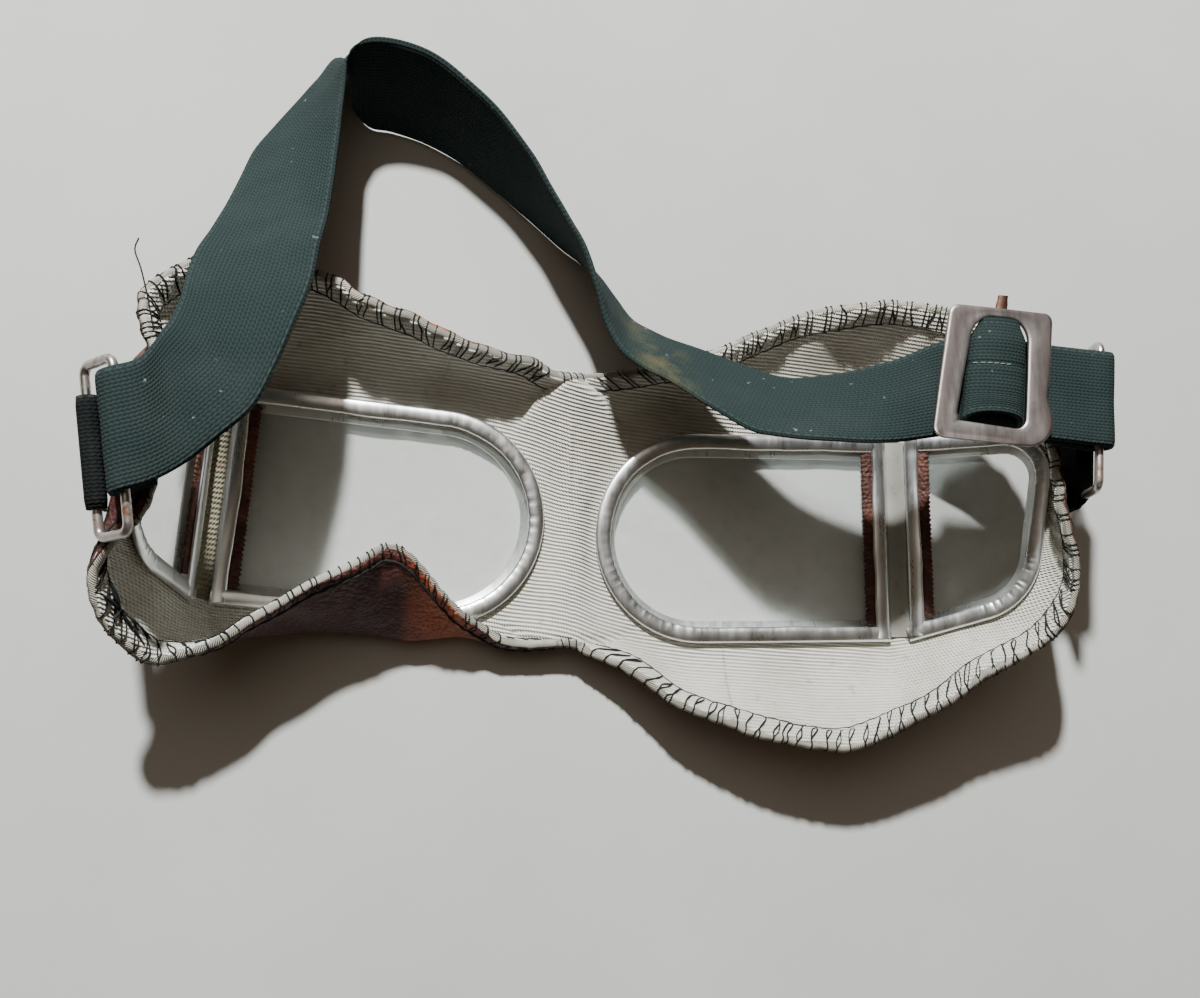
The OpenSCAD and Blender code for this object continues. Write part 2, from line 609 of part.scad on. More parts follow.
centred() mask_lining(LEFT, true, left_front_edge);  // left_front_lining
centred() mask_edging(left_front_edge);  // left_front_edging
centred() mask_leather(LEFT, false, left_side_edge);  // left_side_leather
centred() mask_lining(LEFT, false, left_side_edge);  // left_side_lining
centred() mask_edging(left_side_edge);  // left_side_edging
centred() ring(RIGHT);  // right_ring
centred() tab(RIGHT);  // right_tab
centred() ring(LEFT);  // left_ring
centred() tab(LEFT);  // left_tab
centred() strap_left_end();
centred() strap_left();
centred() strap_right();
centred() strap_right_end();
centred() buckle_plate();
centred() buckle_bar();
centred() strap_end_loop();
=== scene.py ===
import itertools
import math
import random

import bmesh
import bpy
import numpy as np
from mathutils import Matrix, Vector


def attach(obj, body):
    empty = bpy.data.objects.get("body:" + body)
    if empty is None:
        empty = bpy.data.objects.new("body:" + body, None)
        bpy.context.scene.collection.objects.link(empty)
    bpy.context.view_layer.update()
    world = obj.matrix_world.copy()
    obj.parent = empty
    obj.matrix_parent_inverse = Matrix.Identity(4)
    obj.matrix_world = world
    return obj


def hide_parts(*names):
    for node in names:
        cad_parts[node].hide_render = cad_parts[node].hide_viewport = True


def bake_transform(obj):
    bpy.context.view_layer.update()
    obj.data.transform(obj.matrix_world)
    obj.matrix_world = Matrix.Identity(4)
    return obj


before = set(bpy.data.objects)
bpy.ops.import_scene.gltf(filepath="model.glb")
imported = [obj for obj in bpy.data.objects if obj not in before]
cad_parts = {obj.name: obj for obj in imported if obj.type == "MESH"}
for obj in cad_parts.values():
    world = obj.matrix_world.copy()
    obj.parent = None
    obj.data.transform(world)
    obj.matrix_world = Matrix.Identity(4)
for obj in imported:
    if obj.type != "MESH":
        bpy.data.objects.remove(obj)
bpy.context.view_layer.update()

# Folding goggles lying face down: two eyepieces in crimped metal frames, a leather mask with a twill
# lining, and an elastic strap with a slide buckle. Lengths are in millimetres until a mesh is made.
MM = 0.001
MIDDLE = np.array([2.7, 1.6, 0.0])
RIGHT, LEFT = 1, -1
SIDE_NAME = {RIGHT: "right", LEFT: "left"}
rng = random.Random(7)


# ---- camera ----
def make_camera():
    """A look down from a little to the left of and below the middle, as one holds a phone."""
    at = (np.array([-49.3, -49.7, 245.0]) + MIDDLE) * MM
    look = (np.array([-3.5, -20.0, 0.0]) + MIDDLE) * MM
    roll = math.radians(0.5)
    ahead = (look - at) / np.linalg.norm(look - at)
    up = np.array([0, 1, 0]) - ahead * ahead[1]
    up /= np.linalg.norm(up)
    right = np.cross(ahead, up)
    up, right = up * math.cos(roll) + right * math.sin(roll), right * math.cos(roll) - up * math.sin(roll)
    data = bpy.data.cameras.new("camera")
    data.sensor_fit = "HORIZONTAL"
    data.sensor_width = 36
    data.lens = 39
    data.clip_start = 0.01
    cam = bpy.data.objects.new("camera", data)
    m = Matrix.Identity(4)
    for i in range(3):
        m[i][0], m[i][1], m[i][2], m[i][3] = right[i], up[i], -ahead[i], at[i]
    cam.matrix_world = m
    bpy.context.scene.collection.objects.link(cam)
    bpy.context.scene.camera = cam


make_camera()

# ---- sizes of the goggles, the same as the part's ----
PANE_R, FRONT_LEN, SIDE_LEN = 20.2, 60.6, 29.5
ANGLE = {RIGHT: 35.0, LEFT: 70.0}
PLACE = {RIGHT: np.array([-5, -27.6, 0]), LEFT: np.array([-15, -26.2, 0])}
LEFT_TURN = -5.8
FOLD_Z, FOLD_GAP = 3.3, 2.0
BRIDGE_X = -10.0
UPPER_R, LOWER_R = 9.0, 14.0
LOW_RISE, LOW_RUN = math.radians(15), 15.4
LOW_WAY = np.array([math.cos(LOW_RISE), math.sin(LOW_RISE)])
LOW_OUT = np.array([math.sin(LOW_RISE), -math.cos(LOW_RISE)])
UPPER_C = np.array([SIDE_LEN - UPPER_R, PANE_R - UPPER_R])
LOWER_C = np.array([FOLD_GAP, -PANE_R]) + LOW_RUN * LOW_WAY - LOWER_R * LOW_OUT
CORNER_GAP = UPPER_C - LOWER_C
SLANT = math.atan2(CORNER_GAP[1], CORNER_GAP[0]) - math.acos((LOWER_R - UPPER_R) / np.linalg.norm(CORNER_GAP))
BAR_W = 2.8
SHEET_Z, GROOVE_IN = 1.55, 0.9
PULL = {"front": 8.0, "side": 2.5}
LINING_T, LEATHER_T, HEM_T, HEM_W = 0.6, 1.0, 0.3, 4.9
ROLL_T, ROLL_SIDES = LINING_T + LEATHER_T + HEM_T * 0.6, 8
THREAD_R, THREAD_SIDES = 0.14, 5
# Below this the threads lean over, and the cloth's width that the mask's flat sizes are given for
CHEEK_Y, MASK_CLOTH_W = -40, 22

# Free edge of the mask, round each eyepiece from the top of the bridge to its bottom. Each row is the
# pane that the rib starts from, the place along that pane's frame, and the point of the free edge.
RIGHT_EDGE = [
    ("front", 0.64, -10, 2.3, 7.2), ("front", 0.665, -5, 2.6, 6.6), ("front", 0.71, 4, 4, 7),
    ("front", 0.74, 13, 6, 8), ("front", 0.78, 22, 9.5, 10), ("front", 0.84, 31, 13, 13),
    ("front", 0.89, 38, 15, 15), ("front", 0.95, 46, 16, 17), ("front", 1, 52, 16, 18),
    ("side", 1, 58, 15, 20), ("side", 0.929, 61.5, 13.5, 21), ("side", 0.857, 67, 11, 22),
    ("side", 0.766, 74, 5, 23.5), ("side", 0.694, 76.8, -5, 25), ("side", 0.613, 77.4, -15, 26.2),
    ("side", 0.542, 78, -24, 27.3), ("side", 0.44, 79.5, -34, 27), ("side", 0.368, 79.5, -41, 25.5),
    ("side", 0.288, 77, -46.5, 23), ("side", 0.19, 71, -51, 20.5), ("side", 0.1, 64, -55, 19),
    ("side", 0, 57.5, -59, 18), ("front", 0, 52, -62, 17), ("front", 0.05, 46, -65, 16),
    ("front", 0.1, 40, -67, 15), ("front", 0.17, 29, -66, 14), ("front", 0.24, 19, -63, 13),
    ("front", 0.29, 9, -59, 11), ("front", 0.315, 3, -55, 9), ("front", 0.34, -3, -51, 7),
    ("front", 0.365, -10, -47.6, 4.8),
]
LEFT_EDGE = [
    ("front", 0.64, -10, 2.3, 7.2), ("front", 0.66, -13.6, 2.6, 8.4), ("front", 0.68, -18, 4, 10.5),
    ("front", 0.715, -25, 5, 12.5), ("front", 0.74, -32, 7, 14), ("front", 0.77, -40, 10, 16),
    ("front", 0.825, -48, 13, 17), ("front", 0.9, -57, 17, 18), ("front", 1, -67, 19, 19),
    ("side", 1, -74.5, 18, 22), ("side", 0.918, -80, 14.5, 25), ("side", 0.837, -84.5, 9.5, 27.5),
    ("side", 0.766, -83, 2, 31.8), ("side", 0.684, -81, -7, 32.6), ("side", 0.593, -80.5, -18, 32.8),
    ("side", 0.511, -82.5, -27, 32.8), ("side", 0.44, -87.5, -32.5, 31.5), ("side", 0.378, -90, -36.5, 30),
    ("side", 0.308, -90.5, -40, 28.5), ("side", 0.229, -88.5, -45, 26), ("side", 0.153, -85, -48.5, 23),
    ("side", 0.082, -82, -50.5, 21), ("side", 0, -77.5, -49.5, 20), ("front", 0, -71.5, -46.5, 19),
    ("front", 0.045, -67, -43, 18), ("front", 0.09, -61, -39.5, 18), ("front", 0.14, -54, -36, 18),
    ("front", 0.18, -48.5, -33, 18), ("front", 0.21, -44.5, -31, 18), ("front", 0.23, -41, -32, 17),
    ("front", 0.26, -37, -36, 14), ("front", 0.285, -32, -41, 10), ("front", 0.31, -27.5, -44.5, 7),
    ("front", 0.335, -22, -47, 5), ("front", 0.35, -15, -47.6, 4.4), ("front", 0.365, -10, -47.6, 4.8),
]
EDGE = {RIGHT: RIGHT_EDGE, LEFT: LEFT_EDGE}
# Rows where the mask's three pieces meet, at the brow and at the cheek
BROW_CUT = {RIGHT: 4, LEFT: 4}
CHEEK_CUT = {RIGHT: 26, LEFT: 31}
NOSE_FROM, NOSE_TO = 0.365, 0.64
# Y and Z of the bridge line's ends, how far it sags between them, and how low it may come
BRIDGE_LOW, BRIDGE_TOP = np.array([-47.6, 4.8]), np.array([2.3, 7.2])
BRIDGE_SAG, BRIDGE_FLOOR, BRIDGE_BEND = 10.4, 2.2, 2.5

# Strap: rows of the far edge and then the near edge, from the left ring to the right one
STRAP_LEFT_ROWS = [
    [-81, -0.5, 36.8, -75.5, -19.5, 36.9], [-80, 1.5, 36, -70.5, -15, 36.4], [-79, 4, 34, -66, -10.5, 35.4],
    [-78, 8, 32, -62.5, -3, 34], [-77.5, 13, 29, -59.5, 5.5, 32], [-76.5, 18, 25, -57.5, 11.5, 30],
    [-74.5, 24, 20, -56.3, 19, 28], [-72, 32, 14, -55, 26, 25.5], [-69, 42, 9, -54, 34.5, 23],
    [-64, 51, 4, -53.3, 44.5, 20.5], [-58, 60, 1, -52.8, 51.5, 19.5], [-54, 64.5, 0.7, -52.4, 56, 19.3],
    [-51.8, 61.5, 0.6, -51.7, 58, 19.1], [-51, 55, 0.6, -50.6, 59.5, 18.9],
    [-48.5, 51.8, 0.6, -48.8, 60.8, 18.6], [-44, 51, 0.6, -45, 61.2, 18.4],
    [-35, 48, 0.6, -37.5, 59.5, 18], [-27, 42.8, 0.6, -27, 51.5, 18],
    [-19, 36.3, 0.6, -19.3, 42, 18],
]
STRAP_RIGHT_ROWS = [
    [-11, 29.7, 0.6, -12.3, 29.5, 18.3], [-7, 26.8, 0.6, -9.8, 24.7, 18.7], [-3.3, 23.2, 1, -7.4, 16.7, 19.5],
    [-0.5, 19, 2, -5.9, 10.3, 19.5], [2.6, 14.2, 4, -3.3, 4.7, 20], [6.4, 11, 7.5, 0.5, 1.6, 21],
    [12.6, 7.8, 11, 5.6, -1.5, 22.6], [20.2, 4, 15, 12, -6.5, 25.5], [26.7, 1, 19, 18.3, -10.9, 28.5],
    [30, 0.2, 21.2, 22, -12, 30.3],
]
STRAP_LANDING_ROWS = [[38.5, 0.8, 26.2, 33.5, -13.3, 33], [45, 2.2, 29.5, 40.5, -13.6, 34.2]]
RUN_FAR, RUN_NEAR = np.array([0, 3.6, 31.4]), np.array([-2, -14.2, 32.6])
RUN_DIR, RUN_UP = np.array([1, 0.01, 0.01]), np.array([0, 0.07, 1])
STRAP_T, TURN_R = 1.2, 2.1
STRAP_SHEET_W, STRAP_WEAVE_W = 0.019, 18.6
RIGHT_TURN_X, RETURN_X, RETURN_H = 85.3, 62, 1.7
LEFT_FAR, LEFT_NEAR = np.array([-87, -5.3, 39.6]), np.array([-84.4, -24.4, 39.6])
LEFT_DIR, LEFT_REACH, LEFT_RETURN = np.array([0.94, 0.33, -0.1]), 4.0, 4.5

# Each length of the strap: the CAD nodes that it stands for, and a pair of bodies and a pair of points given
# for it
STRAP_LENGTHS = [
    ("left", ["strap_left_end"], ("left_side", "left_front"), ([-82, -10, 36], [-76, -8, 36])),
    ("middle", ["strap_left", "strap_right"], ("left_front", "right_front"), ([-19, 35, 9], [-11, 35, 9])),
    ("right", ["strap_right_end"], ("right_front", "right_side"), ([29, -6, 26], [39, -6, 28])),
]

# Rings and tabs
RING_R, RING_W = 0.8, 9.0
BAR_AT = {RIGHT: np.array([84.03, -7, 30.91]), LEFT: np.array([-85.4, -17, 37.5])}
BAR_TURN = {RIGHT: -6.4, LEFT: 7.0}
BAR_TILT = {RIGHT: -3.85, LEFT: 0.0}
RING_SLOPE = {RIGHT: 100.0, LEFT: 45.0}
TAB_HANG = {RIGHT: (13.0, 82.0, -3.6), LEFT: (4.5, 92.0, 0.0)}
TAB_T, TAB_W = 0.8, 18.0

# Buckle
BUCKLE_AT, BUCKLE_ROLL, BUCKLE_TURN, BUCKLE_SHIFT = np.array([61.3, -4, 33]), -2.0, -3.5, 2.6
BUCKLE_W, BUCKLE_L, BUCKLE_T, PLATE_Z = 21.0, 24.5, 0.8, 2.5
WINDOW_W, WINDOW_L, WINDOW_Y = 11.6, 20.0, 0.6


# ---- small maths ----
def unit(v):
    return v / np.maximum(np.linalg.norm(v, axis=-1, keepdims=True), 1e-9)


def lerp(a, b, t):
    return a + (b - a) * t


def smooth(t):
    t = np.clip(t, 0, 1)
    return t * t * (3 - 2 * t)


def distances(points):
    """How far along a line of points each of them is."""
    return np.concatenate([[0], np.cumsum(np.linalg.norm(np.diff(points, axis=0), axis=1))])


def rotation(axis, degrees):
    c, s = math.cos(math.radians(degrees)), math.sin(math.radians(degrees))
    return {
        "x": np.array([[1, 0, 0], [0, c, -s], [0, s, c]]),
        "y": np.array([[c, 0, s], [0, 1, 0], [-s, 0, c]]),
        "z": np.array([[c, -s, 0], [s, c, 0], [0, 0, 1]]),
    }[axis]


def wobble(p, size, seed=0):
    """Smooth noise between about -1 and 1, with features of the given size."""
    r = np.random.RandomState(seed)
    p = np.asarray(p, float)
    total = np.zeros(p.shape[:-1])
    for _ in range(6):
        k = r.normal(size=3)
        k *= 2 * math.pi / size / np.linalg.norm(k) * r.uniform(0.6, 1.4)
        total = total + np.sin(p @ k + r.uniform(0, 6.28))
    return total / 2.6


def through(points, step):
    """A smooth curve through rows of one or two points, in steps of about the given length, and where each
    row fell. Steps are measured along the point, or halfway between the two."""
    p = np.array(points, float)
    mid = (p[:, :3] + p[:, 3:6]) / 2 if p.shape[1] == 6 else p[:, :3]
    gaps = np.maximum(np.linalg.norm(np.diff(mid, axis=0), axis=1), 1e-3)
    knots = np.concatenate([[0], np.cumsum(np.sqrt(gaps))])
    slopes = np.zeros_like(p)
    for i in range(1, len(p) - 1):
        a, b = knots[i] - knots[i - 1], knots[i + 1] - knots[i]
        slopes[i] = ((p[i] - p[i - 1]) / a * b + (p[i + 1] - p[i]) / b * a) / (a + b)
    slopes[0] = (p[1] - p[0]) / (knots[1] - knots[0])
    slopes[-1] = (p[-1] - p[-2]) / (knots[-1] - knots[-2])
    out, marks = [], []
    for i in range(len(p) - 1):
        h = knots[i + 1] - knots[i]
        n = max(1, int(round(gaps[i] / step)))
        marks.append(len(out))
        for k in range(n):
            t = k / n
            out.append((2 * t**3 - 3 * t**2 + 1) * p[i] + (t**3 - 2 * t**2 + t) * h * slopes[i]
                       + (3 * t**2 - 2 * t**3) * p[i + 1] + (t**3 - t**2) * h * slopes[i + 1])
    marks.append(len(out))
    out.append(p[-1])
    return np.array(out), marks


# ---- places on the eyepieces ----
def eye_point(side, p):
    p = np.asarray(p, float)
    if side == RIGHT:
        return PLACE[RIGHT] + p
    return PLACE[LEFT] + (p * np.array([-1, 1, 1])) @ rotation("z", LEFT_TURN).T


def side_point(side, p):
    p = np.asarray(p, float) - np.array([0, 0, FOLD_Z])
    return eye_point(side, np.array([FRONT_LEN, 0, FOLD_Z]) + p @ rotation("y", -ANGLE[side]).T)


def pane_point(side, pane, p):
    return eye_point(side, p) if pane == "front" else side_point(side, p)


def front_path(f):
    """Place on a front frame's outline, and the direction it faces."""
    s, q = FRONT_LEN - FOLD_GAP - PANE_R, math.pi * PANE_R
    l = f * (2 * s + q)
    if l < s:
        return np.array([FRONT_LEN - FOLD_GAP - l, -PANE_R]), np.array([0.0, -1.0])
    if l < s + q:
        a = math.radians(270) - math.pi * (l - s) / q
        n = np.array([math.cos(a), math.sin(a)])
        return np.array([PANE_R, 0]) + PANE_R * n, n
    return np.array([PANE_R + l - s - q, PANE_R]), np.array([0.0, 1.0])


def side_path(f):
    """The same for a side frame."""
    s1, q1 = LOW_RUN, LOWER_R * (SLANT + math.pi / 2 - LOW_RISE)
    s2 = math.sqrt(np.linalg.norm(CORNER_GAP) ** 2 - (LOWER_R - UPPER_R) ** 2)
    q2, s3 = UPPER_R * (math.pi / 2 - SLANT), UPPER_C[0] - FOLD_GAP
    l = f * (s1 + q1 + s2 + q2 + s3)
    if l < s1:
        return np.array([FOLD_GAP, -PANE_R]) + l * LOW_WAY, LOW_OUT
    l -= s1
    if l < q1:
        a = LOW_RISE - math.pi / 2 + l / LOWER_R
        n = np.array([math.cos(a), math.sin(a)])
        return LOWER_C + LOWER_R * n, n
    l -= q1
    n = np.array([math.cos(SLANT), math.sin(SLANT)])
    if l < s2:
        return LOWER_C + LOWER_R * n + l * np.array([-n[1], n[0]]), n
    l -= s2
    if l < q2:
        a = SLANT + l / UPPER_R
        n = np.array([math.cos(a), math.sin(a)])
        return UPPER_C + UPPER_R * n, n
    return np.array([UPPER_C[0] - (l - q2), PANE_R]), np.array([0.0, 1.0])


PATH = {"front": front_path, "side": side_path}


# ---- meshes ----
def new_object(name, verts, faces, mats, uv=None, face_mat=None):
    """A mesh object from millimetre points in the construction frame, put in the row frame. Faces of more
    than four corners are the ends of tubes, and are flat with sharp edges."""
    mesh = bpy.data.meshes.new(name)
    places = (np.asarray(verts, float) + MIDDLE) * MM
    mesh.from_pydata(places.tolist(), [], [tuple(int(i) for i in f) for f in faces])
    mesh.validate()
    for m in mats if isinstance(mats, (list, tuple)) else [mats]:
        mesh.materials.append(m)
    if uv is not None:
        layer = mesh.uv_layers.new(name="weave")
        uv = np.asarray(uv, float)
        for loop in mesh.loops:
            layer.data[loop.index].uv = uv[loop.vertex_index]
    caps = set()
    for i, poly in enumerate(mesh.polygons):
        poly.use_smooth = len(poly.vertices) <= 4
        if len(poly.vertices) > 4:
            caps.update(poly.edge_keys)
        if face_mat is not None:
            poly.material_index = int(face_mat[i])
    for edge in mesh.edges:
        edge.use_edge_sharp = edge.key in caps
    obj = bpy.data.objects.new(name, mesh)
    bpy.context.scene.collection.objects.link(obj)
    return obj


def sweep(rings, closed=True, capped=True, offset=0):
    """Faces of a skin over rings of points, all of one length."""
    n, k = len(rings), len(rings[0])
    faces = []
    for i in range(n - 1):
        for j in range(k if closed else k - 1):
            a, b = i * k + j, i * k + (j + 1) % k
            faces.append((offset + a, offset + b, offset + b + k, offset + a + k))
    if capped:
        faces.append(tuple(offset + j for j in reversed(range(k))))
        faces.append(tuple(offset + (n - 1) * k + j for j in range(k)))
    return faces


class Skin:
    """Collects swept tubes and grids into one mesh."""

    def __init__(self):
        self.verts, self.faces, self.uv, self.mat = [], [], [], []

    def add(self, rings, closed=True, capped=True, uv=None, mat=0):
        rings = np.asarray(rings, float)
        faces = sweep(rings, closed, capped, len(self.verts))
        self.faces += faces
        self.mat += [mat] * len(faces)
        self.verts += rings.reshape(-1, 3).tolist()
        self.uv += (np.asarray(uv, float).reshape(-1, 2).tolist() if uv is not None
                    else [[0, 0]] * (rings.shape[0] * rings.shape[1]))

    def join(self, other):
        shift = len(self.verts)
        self.faces += [tuple(i + shift for i in f) for f in other.faces]
        self.verts += other.verts
        self.uv += other.uv
        self.mat += other.mat

    def make(self, name, mats):
        return new_object(name, self.verts, self.faces, mats, self.uv, self.mat)


def tube(path, radius, sides=6):
    """Rings of a round cord along a path. The radius may vary along it."""
    path = np.asarray(path, float)
    radius = np.broadcast_to(radius, len(path))
    tangent = unit(np.gradient(path, axis=0))
    side = unit(np.cross(tangent, [0.13, 0.21, 0.97]))
    other = np.cross(tangent, side)
    a = np.arange(sides) * 2 * math.pi / sides
    return (path[:, None] + radius[:, None, None]
            * (np.cos(a)[None, :, None] * side[:, None] + np.sin(a)[None, :, None] * other[:, None]))


# ---- materials ----
class Shader:
    """A Principled material and short ways to add texture nodes to it."""

    def __init__(self, name, color, rough, metal=0.0, **sockets):
        self.mat = bpy.data.materials.new(name)
        self.mat.use_nodes = True
        self.tree = self.mat.node_tree
        self.bsdf = next(n for n in self.tree.nodes if n.type == "BSDF_PRINCIPLED")
        self.bsdf.inputs["Base Color"].default_value = (*color, 1)
        self.bsdf.inputs["Roughness"].default_value = rough
        self.bsdf.inputs["Metallic"].default_value = metal
        for key, value in sockets.items():
            self.bsdf.inputs[key.replace("_", " ")].default_value = value
        self.mat.diffuse_color = (*color, 1)

    def node(self, kind, **props):
        n = self.tree.nodes.new(kind)
        for key, value in props.items():
            setattr(n, key, value)
        return n

    def link(self, a, b):
        self.tree.links.new(a, b)

    def put(self, socket, value):
        if hasattr(value, "is_output"):
            self.link(value, socket)
        else:
            socket.default_value = value

    def coords(self, kind="Object"):
        return self.node("ShaderNodeTexCoord").outputs[kind]

    def stretched(self, scale):
        m = self.node("ShaderNodeMapping")
        self.link(self.coords(), m.inputs["Vector"])
        m.inputs["Scale"].default_value = scale
        return m.outputs["Vector"]

    def noise(self, scale, detail=4, rough=0.6, vector=None):
        n = self.node("ShaderNodeTexNoise")
        n.inputs["Scale"].default_value = scale
        n.inputs["Detail"].default_value = detail
        n.inputs["Roughness"].default_value = rough
        self.link(vector or self.coords(), n.inputs["Vector"])
        return n.outputs["Fac"]

    def cells(self, scale):
        n = self.node("ShaderNodeTexVoronoi", feature="F1")
        n.inputs["Scale"].default_value = scale
        self.link(self.coords(), n.inputs["Vector"])
        return n.outputs["Distance"]

    def math(self, op, a, b=0.0, c=0.0):
        n = self.node("ShaderNodeMath", operation=op)
        for socket, value in zip(n.inputs, (a, b, c)):
            self.put(socket, value)
        return n.outputs[0]

    def times(self, a, b):
        return self.math("MULTIPLY", a, b)

    def plus(self, a, b):
        return self.math("ADD", a, b)

    def ramp(self, value, low, high, out_low=0.0, out_high=1.0):
        n = self.node("ShaderNodeMapRange", clamp=True)
        self.link(value, n.inputs["Value"])
        for key, number in (("From Min", low), ("From Max", high), ("To Min", out_low), ("To Max", out_high)):
            n.inputs[key].default_value = number
        return n.outputs["Result"]

    def mix(self, fac, a, b, blend="MIX"):
        n = self.node("ShaderNodeMix", data_type="RGBA", blend_type=blend)
        self.put(n.inputs[0], fac)
        for socket, value in ((n.inputs[6], a), (n.inputs[7], b)):
            self.put(socket, value if hasattr(value, "is_output") else (*value, 1))
        return n.outputs[2]

    def axis(self, index, kind="UV"):
        n = self.node("ShaderNodeSeparateXYZ")
        self.link(self.coords(kind), n.inputs[0])
        return n.outputs[index]

    def between(self, value, rise, fall):
        """1 between a rise and a fall of the value, and 0 beyond them."""
        return self.times(self.ramp(value, *rise), self.ramp(value, *fall))

    def stripes(self, value, period):
        """0 to 1 and back, once in each period of the value."""
        wave = self.math("SINE", self.times(value, 2 * math.pi / period))
        return self.math("MULTIPLY_ADD", wave, 0.5, 0.5)

    def color(self, socket):
        self.link(socket, self.bsdf.inputs["Base Color"])

    def rough(self, socket):
        self.link(socket, self.bsdf.inputs["Roughness"])

    def bump(self, height, distance, strength=1.0, chain=None):
        n = self.node("ShaderNodeBump")
        n.inputs["Distance"].default_value = distance
        n.inputs["Strength"].default_value = strength
        self.link(height, n.inputs["Height"])
        if chain is not None:
            self.link(chain, n.inputs["Normal"])
        self.link(n.outputs["Normal"], self.bsdf.inputs["Normal"])
        return n.outputs["Normal"]


def twill_material(name, light, dark, pitch, rise, fleck=None):
    """Twill with raised ribs, which climb across the cloth by the given rise, soiled in patches."""
    s = Shader(name, light, 0.92, Specular_IOR_Level=0.15, Sheen_Weight=0.25, Sheen_Roughness=0.5)
    u, v = s.axis(0), s.axis(1)
    across = s.plus(v, s.times(u, rise))
    across = s.plus(across, s.times(s.noise(60, 2), 0.9))
    rib = s.stripes(across, pitch)
    yarn = s.stripes(s.plus(u, s.times(v, 0.7)), pitch * 0.62)
    weave = s.math("MULTIPLY_ADD", yarn, 0.3, s.times(rib, 0.7))
    weave = s.math("MULTIPLY_ADD", s.noise(900, 3), 0.35, weave)
    cloth = s.mix(s.ramp(weave, 0.16, 0.46), dark, light)
    soil = s.ramp(s.noise(38, 5, 0.65), 0.46, 0.75, 0.0, 0.55)
    cloth = s.mix(soil, cloth, (0.38, 0.33, 0.25))
    specks = s.ramp(s.noise(420, 2, 0.5), 0.66, 0.72, 0.0, 0.35)
    cloth = s.mix(specks, cloth, (0.22, 0.2, 0.17))
    if fleck is not None:
        cloth = s.mix(s.ramp(s.noise(210, 2, 0.5), 0.6, 0.64), cloth, fleck)
    s.color(cloth)
    s.bump(weave, 0.00035, 1.0, s.bump(s.noise(120, 4), 0.0006, 0.5))
    return s.mat


def leather_material(name, deep, worn, patch):
    """Creased red-brown leather, rubbed to orange on the high ground of the left flap."""
    s = Shader(name, deep, 0.55, Specular_IOR_Level=0.4)
    grain = s.cells(1400)
    folds = s.noise(140, 6, 0.7, s.stretched((1, 2.2, 1)))
    rubbed = s.ramp(s.noise(70, 6, 0.7), 0.47, 0.66)
    tone = s.mix(rubbed, deep, worn)
    if patch:
        near = s.between(s.axis(0, "Object"), (-0.0395, -0.0345), (-0.0235, -0.028))
        worn_through = s.times(near, s.ramp(s.noise(90, 4), 0.3, 0.55, 0.2, 0.9))
        tone = s.mix(worn_through, tone, (0.42, 0.10, 0.035))
    dots = s.ramp(grain, 0.12, 0.4)
    s.color(s.mix(s.times(s.math("SUBTRACT", 1.0, dots), 0.55), tone, (0.03, 0.012, 0.01)))
    s.rough(s.ramp(folds, 0.3, 0.7, 0.42, 0.75))
    s.bump(grain, 0.0003, 0.8, s.bump(folds, 0.0009, 0.8))
    return s.mat


def webbing_material(name, light, dark, stained):
    """Elastic webbing: fine ribs along it, crossed by the knit, with a line inside each selvedge."""
    s = Shader(name, light, 0.85, Specular_IOR_Level=0.07)
    u, v = s.axis(0), s.axis(1)
    rib = s.stripes(v, 0.62)
    knit = s.stripes(s.plus(u, s.times(s.stripes(v, 1.24), 0.4)), 0.8)
    weave = s.math("MULTIPLY_ADD", knit, 0.45, s.times(rib, 0.55))
    weave = s.math("MULTIPLY_ADD", s.noise(1500, 2), 0.3, weave)
    tone = s.mix(s.ramp(weave, 0.2, 0.95), dark, light)
    edge = s.math("ABSOLUTE", v)
    seam = s.between(edge, (8.45, 8.6), (8.95, 8.8))
    seam = s.times(seam, s.ramp(s.stripes(u, 1.5), 0.25, 0.6))
    tone = s.mix(s.times(seam, 0.4), tone, (0.05, 0.065, 0.065))
    lint = s.ramp(s.noise(700, 2, 0.4), 0.75, 0.785, 0.0, 0.45)
    tone = s.mix(lint, tone, (0.30, 0.32, 0.31))
    dust = s.ramp(s.noise(55, 5, 0.7), 0.45, 0.8, 0.0, 0.25)
    tone = s.mix(dust, tone, (0.055, 0.066, 0.064))
    if stained:
        spot = s.between(s.axis(0, "Object"), (0.001, 0.006), (0.014, 0.009))
        stain = s.times(spot, s.ramp(s.noise(160, 4), 0.4, 0.65, 0, 0.6))
        tone = s.mix(stain, tone, (0.12, 0.105, 0.05))
    s.color(tone)
    s.bump(weave, 0.00016, 0.8, s.bump(s.noise(90, 3), 0.0003, 0.4))
    return s.mat


def metal_material(name, bright, dull, rough, rust=None, rust_from=0.6, margin=None):
    """Worn sheet metal: fine scratches, dull patches and, where given, tarnish and a paler margin."""
    s = Shader(name, bright, rough, 1.0)
    scratch = s.noise(500, 5, 0.7, s.stretched((1, 0.12, 1)))
    patch = s.noise(110, 5, 0.65)
    tone = s.mix(s.ramp(patch, 0.4, 0.68), bright, dull)
    if rust is not None:
        spread = s.ramp(s.noise(170, 6, 0.7), rust_from, rust_from + 0.12)
        tone = s.mix(spread, tone, rust)
        s.link(s.math("SUBTRACT", 1.0, s.times(spread, 0.7)), s.bsdf.inputs["Metallic"])
    if margin is not None:
        out = s.plus(s.axis(0), s.times(patch, 0.5))
        tone = s.mix(s.ramp(out, 0.72, 0.98), tone, margin)
    s.color(tone)
    scratched = s.ramp(scratch, 0.3, 0.75, rough - 0.06, rough + 0.1)
    s.rough(s.plus(scratched, s.ramp(patch, 0.4, 0.7, 0, 0.08)))
    s.bump(scratch, 0.00002, 0.3, s.bump(patch, 0.00012, 0.3))
    return s.mat


